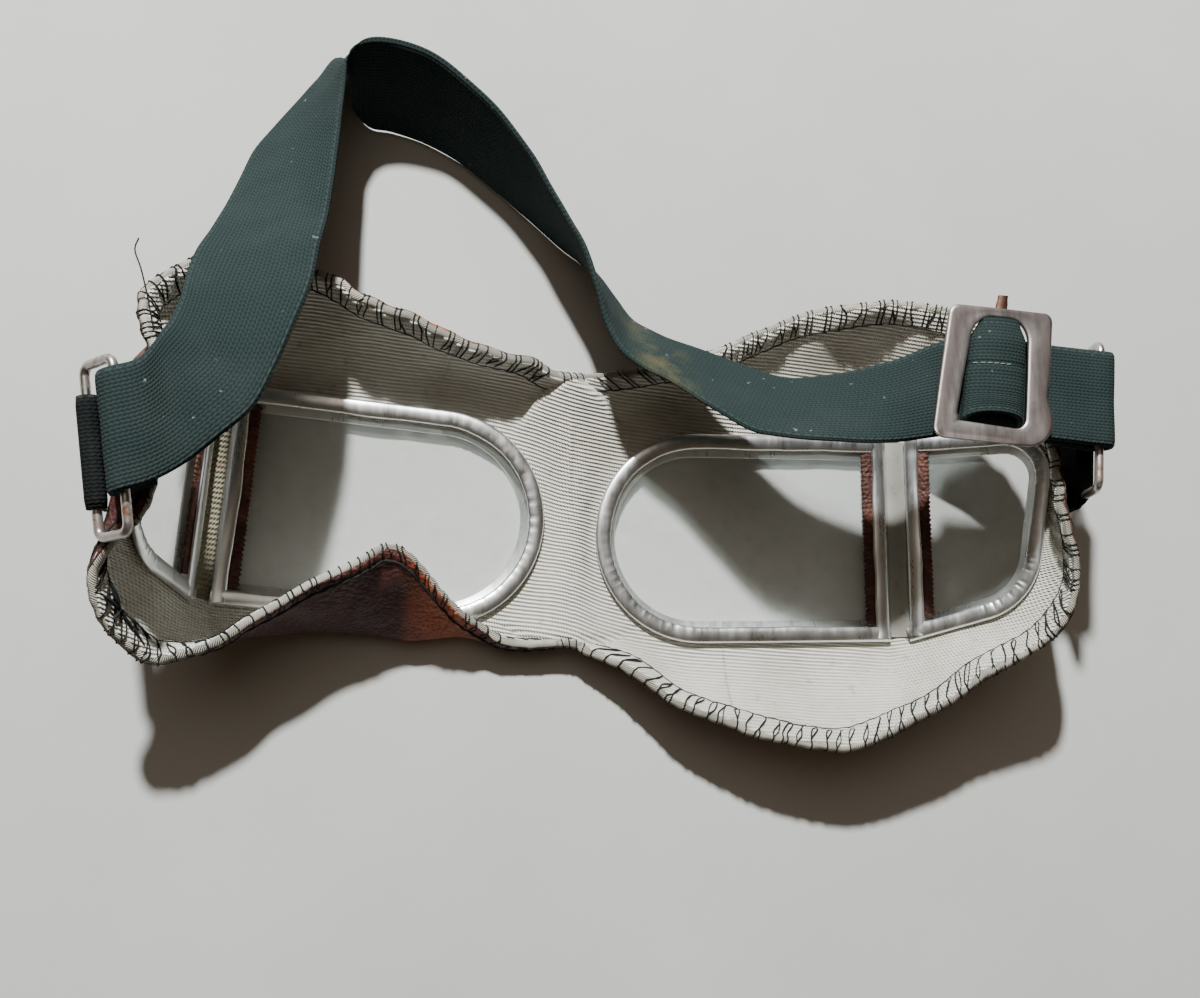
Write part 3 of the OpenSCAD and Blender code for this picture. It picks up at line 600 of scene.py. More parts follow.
def glass_material():
    """Clear pane, faintly green, that lets light and shadow through, with dust and fine scratches."""
    s = Shader("glass", (0.74, 0.82, 0.78), 0.04, Specular_IOR_Level=0.5, Alpha=0.14)
    dust = s.ramp(s.noise(260, 6, 0.7), 0.5, 0.85, 0.0, 0.14)
    film = s.ramp(s.noise(26, 3, 0.5), 0.4, 0.8, 0.0, 0.05)
    s.link(s.plus(s.plus(0.07, film), dust), s.bsdf.inputs["Alpha"])
    return s.mat


LINING = twill_material("lining", (0.76, 0.735, 0.665), (0.085, 0.078, 0.063), 0.8, 0.0)
TAPE = twill_material("tape", (0.56, 0.54, 0.47), (0.3, 0.28, 0.22), 0.8, 4.0)
RIBBED_TAPE = twill_material("ribbed_tape", (0.27, 0.245, 0.17), (0.085, 0.07, 0.045), 0.95, 0.0,
                             (0.33, 0.05, 0.02))
EDGE_CLOTH = twill_material("edge_cloth", (0.5, 0.47, 0.4), (0.2, 0.185, 0.15), 0.6, 1.6)
LEATHER = leather_material("leather", (0.11, 0.03, 0.022), (0.2, 0.07, 0.04), False)
FLAP_LEATHER = leather_material("flap_leather", (0.055, 0.014, 0.013), (0.12, 0.034, 0.024), True)
# Packing leather whose deep tone is about half the mask leather's: painted shade for the shadow that lies
# over the dividers.
PINKED_SHADED = leather_material("pinked_leather_shaded", (0.06, 0.016, 0.01), (0.2, 0.07, 0.035), False)
WEBBING = webbing_material("webbing", (0.023, 0.037, 0.036), (0.012, 0.019, 0.019), True)
TAB_WEBBING = webbing_material("tab_webbing", (0.011, 0.013, 0.013), (0.004, 0.005, 0.005), False)
ALUMINIUM = metal_material("aluminium", (0.93, 0.95, 0.96), (0.8, 0.81, 0.82), 0.28)
BUCKLE_METAL = metal_material("buckle_metal", (0.38, 0.335, 0.33), (0.25, 0.2, 0.195), 0.42,
                              (0.15, 0.075, 0.055), 0.66, margin=(0.42, 0.385, 0.38))
WIRE = metal_material("wire", (0.62, 0.61, 0.6), (0.4, 0.36, 0.33), 0.33, (0.16, 0.075, 0.04), 0.5)
RUSTY = metal_material("rusty", (0.26, 0.15, 0.11), (0.17, 0.08, 0.05), 0.5, (0.13, 0.05, 0.03), 0.5)
GLASS = glass_material()
THREAD = Shader("thread", (0.012, 0.016, 0.014), 0.8, Specular_IOR_Level=0.3).mat
SEAM_THREAD = Shader("seam_thread", (0.16, 0.19, 0.18), 0.8, Specular_IOR_Level=0.3).mat


# ---- pane frames ----
# Section of the channel: distance in from the outline, and height
CHANNEL = [
    (4.2, 0.06), (2.0, 0.0), (0.1, 0.0), (-0.22, 0.1), (-0.3, 0.3), (-0.2, 0.52), (0.3, 0.6), (1.0, 0.62),
    (1.2, 0.8), (1.2, 2.8), (1.05, 2.98), (0.2, 2.92), (0.0, 3.02), (-0.04, 3.22), (0.1, 3.45), (0.5, 3.6),
    (1.2, 3.68), (2.0, 3.64), (2.6, 3.52), (2.95, 3.32), (2.98, 3.12), (2.8, 3.0), (2.1, 2.96), (2.0, 2.8),
    (2.0, 0.8), (2.15, 0.62), (4.1, 0.6), (4.24, 0.35),
]
# Height above which a section's points belong to the crimped lip
LIP_Z = 2.9
# Section of a divider's channel: distance from its closed edge, and height
BAR = [
    (2.9, 0.05), (1.2, 0.0), (0.25, 0.0), (0.05, 0.15), (0.0, 0.4), (0.0, 3.1), (0.06, 3.4), (0.3, 3.58),
    (0.9, 3.66), (1.7, 3.64), (2.4, 3.56), (2.75, 3.4), (2.8, 3.15), (2.6, 3.0), (0.9, 2.96), (0.8, 2.8),
    (0.8, 0.8), (0.95, 0.62), (2.8, 0.6), (2.95, 0.3),
]


def crease(l, seed):
    """Dents of the crimping machine along a curve."""
    r = random.Random(seed)
    total = np.zeros_like(l)
    at = r.uniform(0, 2)
    while at < l[-1]:
        total += r.uniform(0.3, 1.0) * np.exp(-(((l - at) / r.uniform(0.18, 0.4)) ** 2))
        at += r.uniform(1.1, 3.4)
    return total


def channel_rings(side, pane, count=260):
    """The channel that is bent round a pane, its lip crimped most where it turns."""
    section = np.array(CHANNEL)
    places = [PATH[pane](i / count) for i in range(count + 1)]
    points = np.array([p for p, _ in places])
    normals = np.array([n for _, n in places])
    length = distances(points)
    bend = np.linalg.norm(np.gradient(normals, axis=0), axis=1) / np.maximum(np.gradient(length), 1e-6)
    curved = smooth(np.convolve(bend > 0.02, np.ones(9) / 9, "same"))
    dent = crease(length, 11 * side + (3 if pane == "front" else 5)) * (0.25 + 0.75 * curved)
    inset, z = section[:, 0], section[:, 1]
    upper = z > LIP_Z
    lip = smooth((inset - 0.8) / 1.6) * upper
    xyz = np.zeros((count + 1, len(section), 3))
    wave = wobble(np.column_stack([points, points[:, :1] * 0 + side * 40]), 14, 3)
    moved = inset[None, :] + lip[None, :] * (0.10 * wave - 0.12 * dent)[:, None]
    xyz[:, :, :2] = points[:, None] - normals[:, None] * moved[:, :, None]
    xyz[:, :, 2] = z[None, :] + upper[None, :] * 0.05 * wave[:, None] - lip[None, :] * 0.15 * dent[:, None]
    return pane_point(side, pane, xyz)


def bar_rings(side, pane, count=70):
    """A divider's channel, pinched where it meets the frame at each end."""
    section = np.array(BAR)
    upper = section[:, 1] > LIP_Z
    half = PANE_R - 0.6
    rings = []
    for i in range(count + 1):
        y = lerp(-half + (0.5 if pane == "side" else 0), half, i / count)
        end = smooth(1 - (half - abs(y)) / 2.2)
        wave = wobble(np.array([y, side * 9.0, 4.0 if pane == "front" else 8.0]), 9, 5)
        d = section[:, 0] * (1 + 0.05 * wave * upper) + 0.35 * end * wave
        z = section[:, 1] + upper * (0.05 * wave + end * (0.18 + 0.25 * wave))
        x = FRONT_LEN - FOLD_GAP - d if pane == "front" else FOLD_GAP + d
        rings.append(np.column_stack([x, np.full(len(d), y), z]))
    return pane_point(side, pane, np.array(rings))


def make_rim(side, pane):
    skin = Skin()
    skin.add(channel_rings(side, pane))
    skin.add(bar_rings(side, pane))
    rim = skin.make(f"{SIDE_NAME[side]}_{pane}_rim_skin", ALUMINIUM)
    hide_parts(f"{SIDE_NAME[side]}_{pane}_rim")
    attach(rim, f"{SIDE_NAME[side]}_{pane}")


def bend_over_fold(obj):
    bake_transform(obj)


# ---- dividers ----
def make_pinked(side, pane):
    """Leather packing with a pinked edge that shows between the channel and the glass, in leather darkened as
    painted shade.
    """
    half, pitch = PANE_R - 3.2, 0.9
    low = half - (1.6 if pane == "side" else 0)
    r = random.Random(side * 17 + len(pane))
    n = int((half + low) / pitch * 4)
    rings = []
    for i in range(n + 1):
        y = lerp(-low, half, i / n)
        tooth = abs((i / 4) % 1 - 0.5) * 2
        reach = FOLD_GAP + BAR_W + 1.7 + 0.35 * tooth + r.uniform(-0.1, 0.1)
        lift = 2.75 + 0.3 * tooth * r.uniform(0.2, 1) + r.uniform(-0.04, 0.08)
        ring = [(FOLD_GAP + 1.0, 2.62), (FOLD_GAP + BAR_W + 0.5, 2.66), (reach, lift - 0.2),
                (reach - 0.1, lift + 0.18), (FOLD_GAP + BAR_W + 0.4, 3.02), (FOLD_GAP + 1.0, 2.98)]
        rings.append([(FRONT_LEN - d if pane == "front" else d, y, z) for d, z in ring])
    skin = Skin()
    skin.add(pane_point(side, pane, np.array(rings)))
    strip = skin.make(f"{SIDE_NAME[side]}_{pane}_pinked_strip", PINKED_SHADED)
    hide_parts(f"{SIDE_NAME[side]}_divider_{pane}_leather")
    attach(strip, f"{SIDE_NAME[side]}_{pane}")


def make_tape(side):
    """Tape that hinges the two panes, sunk a little between the channels."""
    half, count, across = PANE_R - 0.9, 60, 9
    tilt = rotation("y", -ANGLE[side] / 2)
    top, uv = [], []
    for i in range(count + 1):
        y = lerp(-half, half, i / count)
        row = []
        for j in range(across):
            w = lerp(-1, 1, j / (across - 1))
            sag = 0.35 * (1 - w * w) + 0.12 * wobble(np.array([y, w * 2.0, side * 3.0]), 5, 8)
            row.append([w * 1.95, y, 0.25 - sag])
            uv.append([w * 1.95, y])
        top.append(row)
    top = np.array(top)
    low = top - np.array([0, 0, 0.6])
    ring = np.concatenate([top, low[:, ::-1]], axis=1)
    uv = np.array(uv).reshape(count + 1, across, 2)
    place = eye_point(side, np.array([FRONT_LEN, 0, FOLD_Z]) + ring @ tilt.T)
    skin = Skin()
    skin.add(place, uv=np.concatenate([uv, uv[:, ::-1]], axis=1))
    tape = skin.make(f"{SIDE_NAME[side]}_hinge_tape", TAPE if side == RIGHT else RIBBED_TAPE)
    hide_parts(f"{SIDE_NAME[side]}_divider_tape")
    bend_over_fold(tape)


def dress(node, mat):
    """Puts a material on a CAD node that is kept as it is."""
    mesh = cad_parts[node].data
    mesh.materials.clear()
    mesh.materials.append(mat)


for eye_side in (RIGHT, LEFT):
    for pane_name in ("front", "side"):
        make_rim(eye_side, pane_name)
        make_pinked(eye_side, pane_name)
        dress(f"{SIDE_NAME[eye_side]}_{pane_name}_glass", GLASS)
    make_tape(eye_side)


# ---- mask ----
def rib_root(side, pane, f):
    """Where a rib starts in the frame's groove, where it leaves the frame, and a point 1 mm further out."""
    at, away = PATH[pane](f)
    return [pane_point(side, pane, np.append(p, SHEET_Z)) for p in (at - away * GROOVE_IN, at, at + away)]


def outer_ribs(side, step=0.9):
    """Ribs from the top of the bridge round the eyepiece to its bottom: root, pull point and tip."""
    edge = EDGE[side]
    dense, marks = through([row[2:] for row in edge], step)
    ribs = []
    for i, (a, b) in enumerate(zip(edge, edge[1:])):
        is_last = i == len(edge) - 2
        for k in range(marks[i], marks[i + 1] + is_last):
            t = (k - marks[i]) / max(1, marks[i + 1] - marks[i])
            tip = dense[k]
            if a[0] == b[0]:
                root, lip, out = rib_root(side, a[0], lerp(a[1], b[1], t))
                reach = PULL[a[0]]
            else:
                from_a, from_b = (rib_root(side, e[0], e[1]) for e in (a, b))
                root, lip, out = (lerp(p, q, t) for p, q in zip(from_a, from_b))
                reach = lerp(PULL[a[0]], PULL[b[0]], t)
            pull = lip + (out - lip) * min(reach, 0.5 * np.linalg.norm(tip - root))
            ribs.append((root, pull, tip))
    return ribs, marks


def nose_ribs(side, count):
    """Ribs that meet those of the other eyepiece along the bridge."""
    ribs = []
    for i in range(count + 1):
        t = i / count
        root, lip, out = rib_root(side, "front", lerp(NOSE_FROM, NOSE_TO, t))
        y, z = lerp(BRIDGE_LOW, BRIDGE_TOP, t)
        z -= BRIDGE_SAG * t * (1 - t) * (1 - 0.15 * (2 * t - 1))
        tip = np.array([BRIDGE_X, y, max(z, BRIDGE_FLOOR)])
        span = np.linalg.norm(tip - root)
        ribs.append((root, lip + (out - lip) * 0.4 * span, tip, tip + np.array([side * 0.35 * span, 0, 0])))
    return ribs


def rib_curve(rib, ts):
    """Points along a rib, which has one pull point where its end is free and two where it meets another."""
    ts = np.asarray(ts)[:, None]
    if len(rib) == 3:
        root, pull, tip = rib
        return (1 - ts) ** 2 * root + 2 * ts * (1 - ts) * pull + ts**2 * tip
    root, pull, tip, pull_end = rib
    return ((1 - ts) ** 3 * root + 3 * ts * (1 - ts) ** 2 * pull + 3 * ts**2 * (1 - ts) * pull_end
            + ts**3 * tip)


ACROSS = np.concatenate([np.linspace(0, 0.72, 15), np.linspace(0.76, 1, 9)])


def pucker(grid, normals, free):
    """Slack of worn leather and cloth: long ripples, and a gather that grows towards the sewn edge."""
    depth = np.linspace(0, 1, grid.shape[1])[None, :] * np.ones(grid.shape[:2])
    slack = 0.45 * wobble(grid, 17, 21) * smooth(depth * 1.6) * smooth((1.12 - depth) * 4)
    gather = 0.28 * wobble(grid, 4.6, 22) * smooth((depth - 0.55) / 0.45) * free[:, None]
    return grid + normals * (slack + gather)[:, :, None]


def weave_uv(grid):
    """Cloth coordinates in millimetres: the twill runs across the face and dips at the bridge."""
    x, y, z = grid[..., 0], grid[..., 1], grid[..., 2]
    dip = np.vectorize(math.erf)((x - BRIDGE_X + 2) / 14) * 2.4
    return np.stack([x, y + 0.09 * x + dip + 0.4 * np.tanh((y + 27) / 8) * z], axis=-1)


class MaskSide:
    """One eyepiece's part of the mask: ribs all the way round, from the brow cut by way of the side pane."""

    def __init__(self, side):
        ribs, marks = outer_ribs(side)
        nose = nose_ribs(side, 44)
        brow, cheek = marks[BROW_CUT[side]], marks[CHEEK_CUT[side]]
        ring = ribs[brow:] + nose[1:-1] + ribs[:brow]
        self.cheek = cheek - brow
        self.nose = (len(ribs) - brow - 1, len(ribs) - brow - 1 + len(nose))
        self.free = np.ones(len(ring))
        self.free[self.nose[0]:self.nose[1]] = 0
        self.grid = np.array([rib_curve(r, ACROSS) for r in ring])
        along = np.roll(self.grid, -1, axis=0) - np.roll(self.grid, 1, axis=0)
        self.normals = side * unit(np.cross(along, np.gradient(self.grid, axis=1)))
        self.grid = pucker(self.grid, self.normals, self.free)
        self.tips = np.array([r[2] for r in ring[self.nose[0]:self.nose[1]]])

    def piece(self, name):
        """Grid, normals, which ribs meet the other eyepiece's, and which have a free end."""
        if name == "outer":
            return self.grid[:self.cheek + 1], self.normals[:self.cheek + 1], None, self.free[:self.cheek + 1]

        def loop(v):
            return np.concatenate([v[self.cheek:], v[:1]])

        joined = (self.nose[0] - self.cheek, self.nose[1] - self.cheek)
        return loop(self.grid), loop(self.normals), joined, loop(self.free)


MASK = {eye_side: MaskSide(eye_side) for eye_side in (RIGHT, LEFT)}
# The two halves share the points and the normals of the bridge line
shared = [m.normals[m.nose[0]:m.nose[1], -1] for m in MASK.values()]
shared = unit((shared[0] + shared[1]) * np.array([0, 1, 1]))
for half in MASK.values():
    half.grid[half.nose[0]:half.nose[1], -1] = half.tips
    half.normals[half.nose[0]:half.nose[1], -1] = shared


def hem(grid, free):
    """Extra thickness of the turned hem, at each grid point."""
    steps = np.linalg.norm(np.diff(grid, axis=1), axis=2)
    from_tip = np.concatenate([np.cumsum(steps[:, ::-1], axis=1)[:, ::-1], np.zeros((len(grid), 1))], axis=1)
    return HEM_T * smooth((HEM_W - from_tip) / 0.8) * smooth(from_tip / 0.5 + 0.3) * free[:, None]


def sheet_piece(name, parts, low, high, mat, slot_name):
    """A closed sheet between two offsets of the mask, from one grid or two that meet at the bridge."""
    verts, faces, uv = [], [], []
    for grid, normals, joined, free in parts:
        n, m = grid.shape[:2]
        start = len(verts)
        cloth = weave_uv(grid)
        raised = high + (hem(grid, free) if slot_name == "lining" else 0)
        for d in (raised * np.ones((n, m)), low * np.ones((n, m))):
            verts += (grid + normals * d[:, :, None]).reshape(-1, 3).tolist()
            uv += cloth.reshape(-1, 2).tolist()
        k = n * m

        def quad(a, b, c, d):
            faces.append((start + a, start + b, start + c, start + d))

        for i in range(n - 1):
            for j in range(m - 1):
                a, b, c, d = i * m + j, (i + 1) * m + j, (i + 1) * m + j + 1, i * m + j + 1
                quad(a, b, c, d)
                quad(d + k, c + k, b + k, a + k)
            quad(i * m + k, (i + 1) * m + k, (i + 1) * m, i * m)
            if not (joined and joined[0] <= i < joined[1] - 1):
                e = i * m + m - 1
                quad(e, e + m, e + m + k, e + k)
        for j in range(m - 1):
            quad(j, j + 1, j + 1 + k, j + k)
            e = (n - 1) * m + j
            quad(e + k, e + 1 + k, e + 1, e)
    obj = new_object(name, verts, faces, mat, uv)
    bm = bmesh.new()
    bm.from_mesh(obj.data)
    bmesh.ops.remove_doubles(bm, verts=bm.verts, dist=0.02 * MM)
    bmesh.ops.recalc_face_normals(bm, faces=bm.faces)
    bm.to_mesh(obj.data)
    bm.free()
    return obj


GRIDS = {(s, p): MASK[s].piece(p) for s in (RIGHT, LEFT) for p in ("outer", "inner")}


def bend_over_bridge(obj):
    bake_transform(obj)


def make_mask():
    for layer, low, high, mat in (("lining", 0.05, LINING_T, LINING), ("leather", -LEATHER_T, 0.0, LEATHER)):
        for side in (RIGHT, LEFT):
            part = GRIDS[(side, "outer")]
            own = FLAP_LEATHER if layer == "leather" and side == LEFT else mat
            obj = sheet_piece(f"{SIDE_NAME[side]}_mask_{layer}", [part], low, high, own, layer)
            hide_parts(f"{SIDE_NAME[side]}_side_{layer}")
            bend_over_fold(obj)
        parts = [GRIDS[(s, "inner")] for s in (RIGHT, LEFT)]
        own = FLAP_LEATHER if layer == "leather" else mat
        obj = sheet_piece(f"bridge_mask_{layer}", parts, low, high, own, layer)
        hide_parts(f"right_front_{layer}", f"left_front_{layer}")
        bend_over_bridge(obj)


make_mask()


# ---- stitching of the free edge ----
def inward_point(grid_row, distance):
    """Point on a rib at a distance from its tip."""
    back = grid_row[::-1]
    steps = distances(back)
    i = min(len(back) - 2, int(np.searchsorted(steps, distance, side="right")) - 1)
    t = (distance - steps[i]) / max(steps[i + 1] - steps[i], 1e-6)
    return lerp(back[i], back[i + 1], t)


def thread_run(skin, grid, normals, s_from, s_to, depth, place, over=True):
    """A thread on the hem from its inner line towards the edge, and over it to the leather side."""
    lift = LINING_T + HEM_T + 0.08

    def rib(s):
        return int(np.clip(np.searchsorted(place, s), 0, len(place) - 1))

    def on_face(s, inward, height):
        i = rib(s)
        return inward_point(grid[i], inward) + normals[i, -4] * height

    path = [on_face(lerp(s_from, s_to, t), depth * (1 - t), lift - 0.2 * (t == 0)) for t in (0, 0.15, 0.85)]
    if over:
        j = rib(s_to)
        out = unit(grid[j, -1] - inward_point(grid[j], 1.5))
        brink = grid[j, -1] + out * 0.36
        path += [brink + normals[j, -1] * 0.5, brink - normals[j, -1] * 0.7,
                 on_face(s_to + 0.3, 0.8, -LEATHER_T - 0.06),
                 on_face(s_to + 0.5, depth * 0.4, -LEATHER_T + 0.02)]
    skin.add(tube(through(path, 0.7)[0], THREAD_R * rng.uniform(0.8, 1.25), THREAD_SIDES))


def free_runs(free):
    """Stretches of ribs with a free end that are long enough for a seam."""
    groups = itertools.groupby(range(len(free)), lambda i: free[i] > 0)
    runs = [list(run) for is_free, run in groups if is_free]
    return [run for run in runs if len(run) >= 3]


def roll_cloth(length):
    """Cloth coordinates of the rolled edge's tube: along it, and round it."""
    along, around = np.meshgrid(length, np.arange(ROLL_SIDES) * 0.6, indexing="ij")
    return np.stack([along, around], -1)


def whipped_edge(grid, normals, free):
    """Overcast threads in pairs, which lean over at the cheek, the seams along their inner ends on both
    faces, and the rounded edge of the cloth."""
    dark, pale = Skin(), Skin()
    place = distances(grid[:, -1])
    s = 0.8
    while s < place[-1] - 1.0:
        i = int(np.argmin(np.abs(place - s)))
        slanted = grid[i, -1, 1] < CHEEK_Y
        if free[max(0, i - 3):i + 6].all():
            lean = rng.uniform(1.7, 2.2) if slanted else rng.uniform(-0.3, 0.5)
            depth = 4.0 + rng.uniform(-0.35, 0.45)
            gap = rng.uniform(0.25, 0.45) if slanted else rng.uniform(0.9, 1.4)
            thread_run(dark, grid, normals, s, s + lean, depth, place)
            thread_run(dark, grid, normals, s + gap, s + gap + lean + rng.uniform(-0.3, 0.3), depth, place)
            if rng.random() < 0.4 and not slanted:
                thread_run(dark, grid, normals, s + gap, s + lean, depth - 0.2, place, False)
        s += rng.uniform(2.3, 2.9) if slanted else rng.uniform(2.7, 3.9)
    for run in free_runs(free):

        def line(inward, at, height):
            return np.array([inward_point(grid[i], inward(i)) + normals[i, at] * height for i in run])

        steps = np.arange(len(run))
        seam = line(lambda i: 4.1 + 0.12 * math.sin(i * 2.1), -5, LINING_T + HEM_T * 0.9)
        dark.add(tube(seam, THREAD_R + 0.03 * np.sin(steps * 2.3), THREAD_SIDES))
        under = line(lambda i: 2.3 + 0.15 * math.sin(i * 1.7), -4, -(LEATHER_T + 0.02))
        dark.add(tube(under, 0.26 + 0.1 * np.sin(steps * 1.9), THREAD_SIDES))
        roll = line(lambda i: 0.5 - 0.12 * math.sin(place[i] * 2.0), -1, ROLL_T / 2 - LEATHER_T)
        pale.add(tube(roll, ROLL_T / 2 + 0.05 * np.sin(steps * 1.7), ROLL_SIDES), uv=roll_cloth(place[run]))
    return dark, pale


def thread_knot(skin, grid, normals):
    """Threads bunched at the left corner, where the hem was gathered up and sewn more than once."""
    corner_at = np.array([-88.5, -45, 26])
    i = int(np.argmin(np.linalg.norm(grid[:, -1] - corner_at, axis=1)))
    centre = inward_point(grid[i], 3.4) + normals[i, -5] * 1.2
    for _ in range(16):
        j = int(np.clip(i + rng.randint(-9, 9), 0, len(grid) - 1))
        end = inward_point(grid[j], rng.uniform(0.2, 5.2)) + normals[j, -5] * rng.uniform(0.7, 1.5)
        bow = (centre + end) / 2 + normals[i, -5] * rng.uniform(0.2, 0.7)
        skin.add(tube(through([centre, bow, end], 0.6)[0], rng.uniform(0.13, 0.24), THREAD_SIDES))


def stray_thread(skin):
    """Loose end that stands up from the strap's upper left corner."""
    points = [[-81.4, 1.5, 35.6], [-82.2, 6, 36.4], [-83.4, 11, 36.8], [-84.6, 14.5, 35.8],
              [-84.2, 16.5, 35.0]]
    skin.add(tube(through(points, 0.8)[0], THREAD_R, THREAD_SIDES))


def roll_ends(side):
    """Places where the rolled edge of one eyepiece stops at the bridge, and the points just before them."""
    grid, normals, _, free = GRIDS[(side, "inner")]
    lift = ROLL_T / 2 - LEATHER_T
    ends = []
    for k in range(1, len(free)):
        if free[k] != free[k - 1]:
            last, before = (k - 1, k - 3) if free[k - 1] else (k, k + 2)
            ends.append([inward_point(grid[i], 0.5) + normals[i, -1] * lift for i in (before, last)])
    return ends


def join_rolls(dark, pale):
    """Rolled edge carried on across the bridge, with its threads."""
    r, near = ROLL_T / 2, 9
    for own, other in itertools.product(roll_ends(RIGHT), roll_ends(LEFT)):
        if np.linalg.norm(own[1] - other[1]) > near:
            continue
        path, _ = through([own[0], own[1], other[1], other[0]], 0.4)
        length = distances(path)
        pale.add(tube(path, r, ROLL_SIDES), uv=roll_cloth(length))
        for s in np.arange(0.8, length[-1] - 0.4, 1.3):
            i = int(np.argmin(np.abs(length - s)))
            way = unit(path[min(i + 1, len(path) - 1)] - path[max(i - 1, 0)])
            over = unit(np.array([0, 0, 1.0]) - way * way[2])
            out = np.cross(way, over)
            dark.add(tube([path[i] + way * 0.25 * a + (r + 0.07) * (math.cos(a) * over + math.sin(a) * out)
                           for a in np.linspace(-2.3, 2.3, 13)], 0.13, THREAD_SIDES))


def finish_edging(name, dark, pale, nodes, bend):
    thread = dark.make(f"{name}_overcast_thread", THREAD)
    roll = pale.make(f"{name}_edge_roll", EDGE_CLOTH)
    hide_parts(*nodes)
    for obj, slot_name in ((thread, "thread"), (roll, "lining")):
        bend(obj)


def make_edging():
    for side in (RIGHT, LEFT):
        name = SIDE_NAME[side]
        grid, normals, _, free = GRIDS[(side, "outer")]
        dark, pale = whipped_edge(grid, normals, free)
        if side == LEFT:
            thread_knot(dark, grid, normals)
            stray_thread(dark)
        finish_edging(name, dark, pale, [f"{name}_side_edging"], lambda obj: bend_over_fold(obj))
    dark, pale = Skin(), Skin()
    for side in (RIGHT, LEFT):
        grid, normals, _, free = GRIDS[(side, "inner")]
        for own, whole in zip(whipped_edge(grid, normals, free), (dark, pale)):
            whole.join(own)
    join_rolls(dark, pale)
    finish_edging("bridge", dark, pale, ["right_front_edging", "left_front_edging"], bend_over_bridge)


make_edging()


# ---- strap ----
def run_row(x, h):
    """Row of the stretch under the buckle, which pulls the strap up a little towards the brow."""
    pulled = np.array([0, math.exp(-((x - 63) / 13.5) ** 2), 0])
    at = RUN_DIR * x + RUN_UP * h
    return np.concatenate([RUN_FAR + at + 2.0 * pulled, RUN_NEAR + at + 2.6 * pulled])


def left_row(a, h):
    """Row of the stretch that comes off the left ring."""
    lift = np.array([0, 0, h])
    return np.concatenate([LEFT_FAR + LEFT_DIR * a + lift, LEFT_NEAR + LEFT_DIR * a + lift])


def turn_rows(row_at, start, sign):
    """Rows of the half turn that the strap makes round a ring."""
    rows = []
    for i in range(9):
        a = math.radians(90 - i * 22.5)
        rows.append(row_at(start + sign * TURN_R * math.cos(a), TURN_R * (math.sin(a) - 1)))
    return rows


def strap_rows():
    """Rows of the whole strap, from the left return layer to the right one, and where the loop starts."""
    left_turn = turn_rows(left_row, 0, -1)[::-1]
    rows = [left_row(LEFT_RETURN, -2 * TURN_R)] + left_turn + [left_row(LEFT_REACH, 0)]
    first = len(rows)
    rows += [np.array(r, float) for r in STRAP_LEFT_ROWS + STRAP_RIGHT_ROWS + STRAP_LANDING_ROWS]
    rows += [run_row(x, 0) for x in (53, 63, 75)] + turn_rows(run_row, RIGHT_TURN_X, 1)
    for x in (80, 72, RETURN_X):
        drop = (2 * TURN_R - RETURN_H) * ((x - RETURN_X) / (RIGHT_TURN_X - RETURN_X)) ** 2
        rows.append(run_row(x, -RETURN_H - drop))
    return rows, first


def band(rows, length):
    """A closed elastic band over dense rows: flat faces, rounded selvedges, and its cloth coordinates."""
    far, near = rows[:, :3], rows[:, 3:]
    mid = (far + near) / 2
    along = unit(np.gradient(mid, axis=0))
    across = near - far
    width = np.linalg.norm(across, axis=1)
    up = unit(np.cross(across, along))
    ws = np.concatenate([[-0.5, -0.47], np.linspace(-0.42, 0.42, 13), [0.47, 0.5]])
    half = STRAP_T / 2 * np.array([0.35, 0.85] + [1.0] * 13 + [0.85, 0.35])
    rings, uv = [], []
    for i in range(len(rows)):
        ripple = 0.10 * wobble(mid[i] + across[i] * ws[:, None], 9, 31)
        sag = 0.25 * wobble(mid[i], 40, 32) * (1 - (2 * ws) ** 2)
        line = mid[i] + across[i] * ws[:, None] + up[i] * (ripple + sag)[:, None]
        rings.append(np.concatenate([line + up[i] * half[:, None], (line - up[i] * half[:, None])[::-1]]))
        v = ws * STRAP_WEAVE_W
        u = np.full(len(ws), length[i])
        uv.append(np.concatenate([np.stack([u, v], -1), np.stack([u, v], -1)[::-1]]))
    return np.array(rings), np.array(uv)


def make_strap():
    rows, first = strap_rows()
    dense, marks = through(rows, 0.8)
    mid = (dense[:, :3] + dense[:, 3:]) / 2
    length = distances(mid)
    rings, uv = band(dense, length)
    cuts = [0, marks[first + 9], marks[first + len(STRAP_LEFT_ROWS) + 5], len(dense) - 1]
    for (name, nodes, bodies, bend), a, b in zip(STRAP_LENGTHS, cuts, cuts[1:]):
        skin = Skin()
        skin.add(rings[a:b + 1], uv=uv[a:b + 1])
        obj = skin.make(f"elastic_strap_{name}", WEBBING)
        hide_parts(*nodes)
        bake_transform(obj)


make_strap()


# ---- rings and tabs ----
def ring_place(side, p):
    turn = rotation("z", BAR_TURN[side]) @ rotation("x", BAR_TILT[side]) @ rotation("y", -RING_SLOPE[side])
    return BAR_AT[side] + np.asarray(p, float) @ turn.T


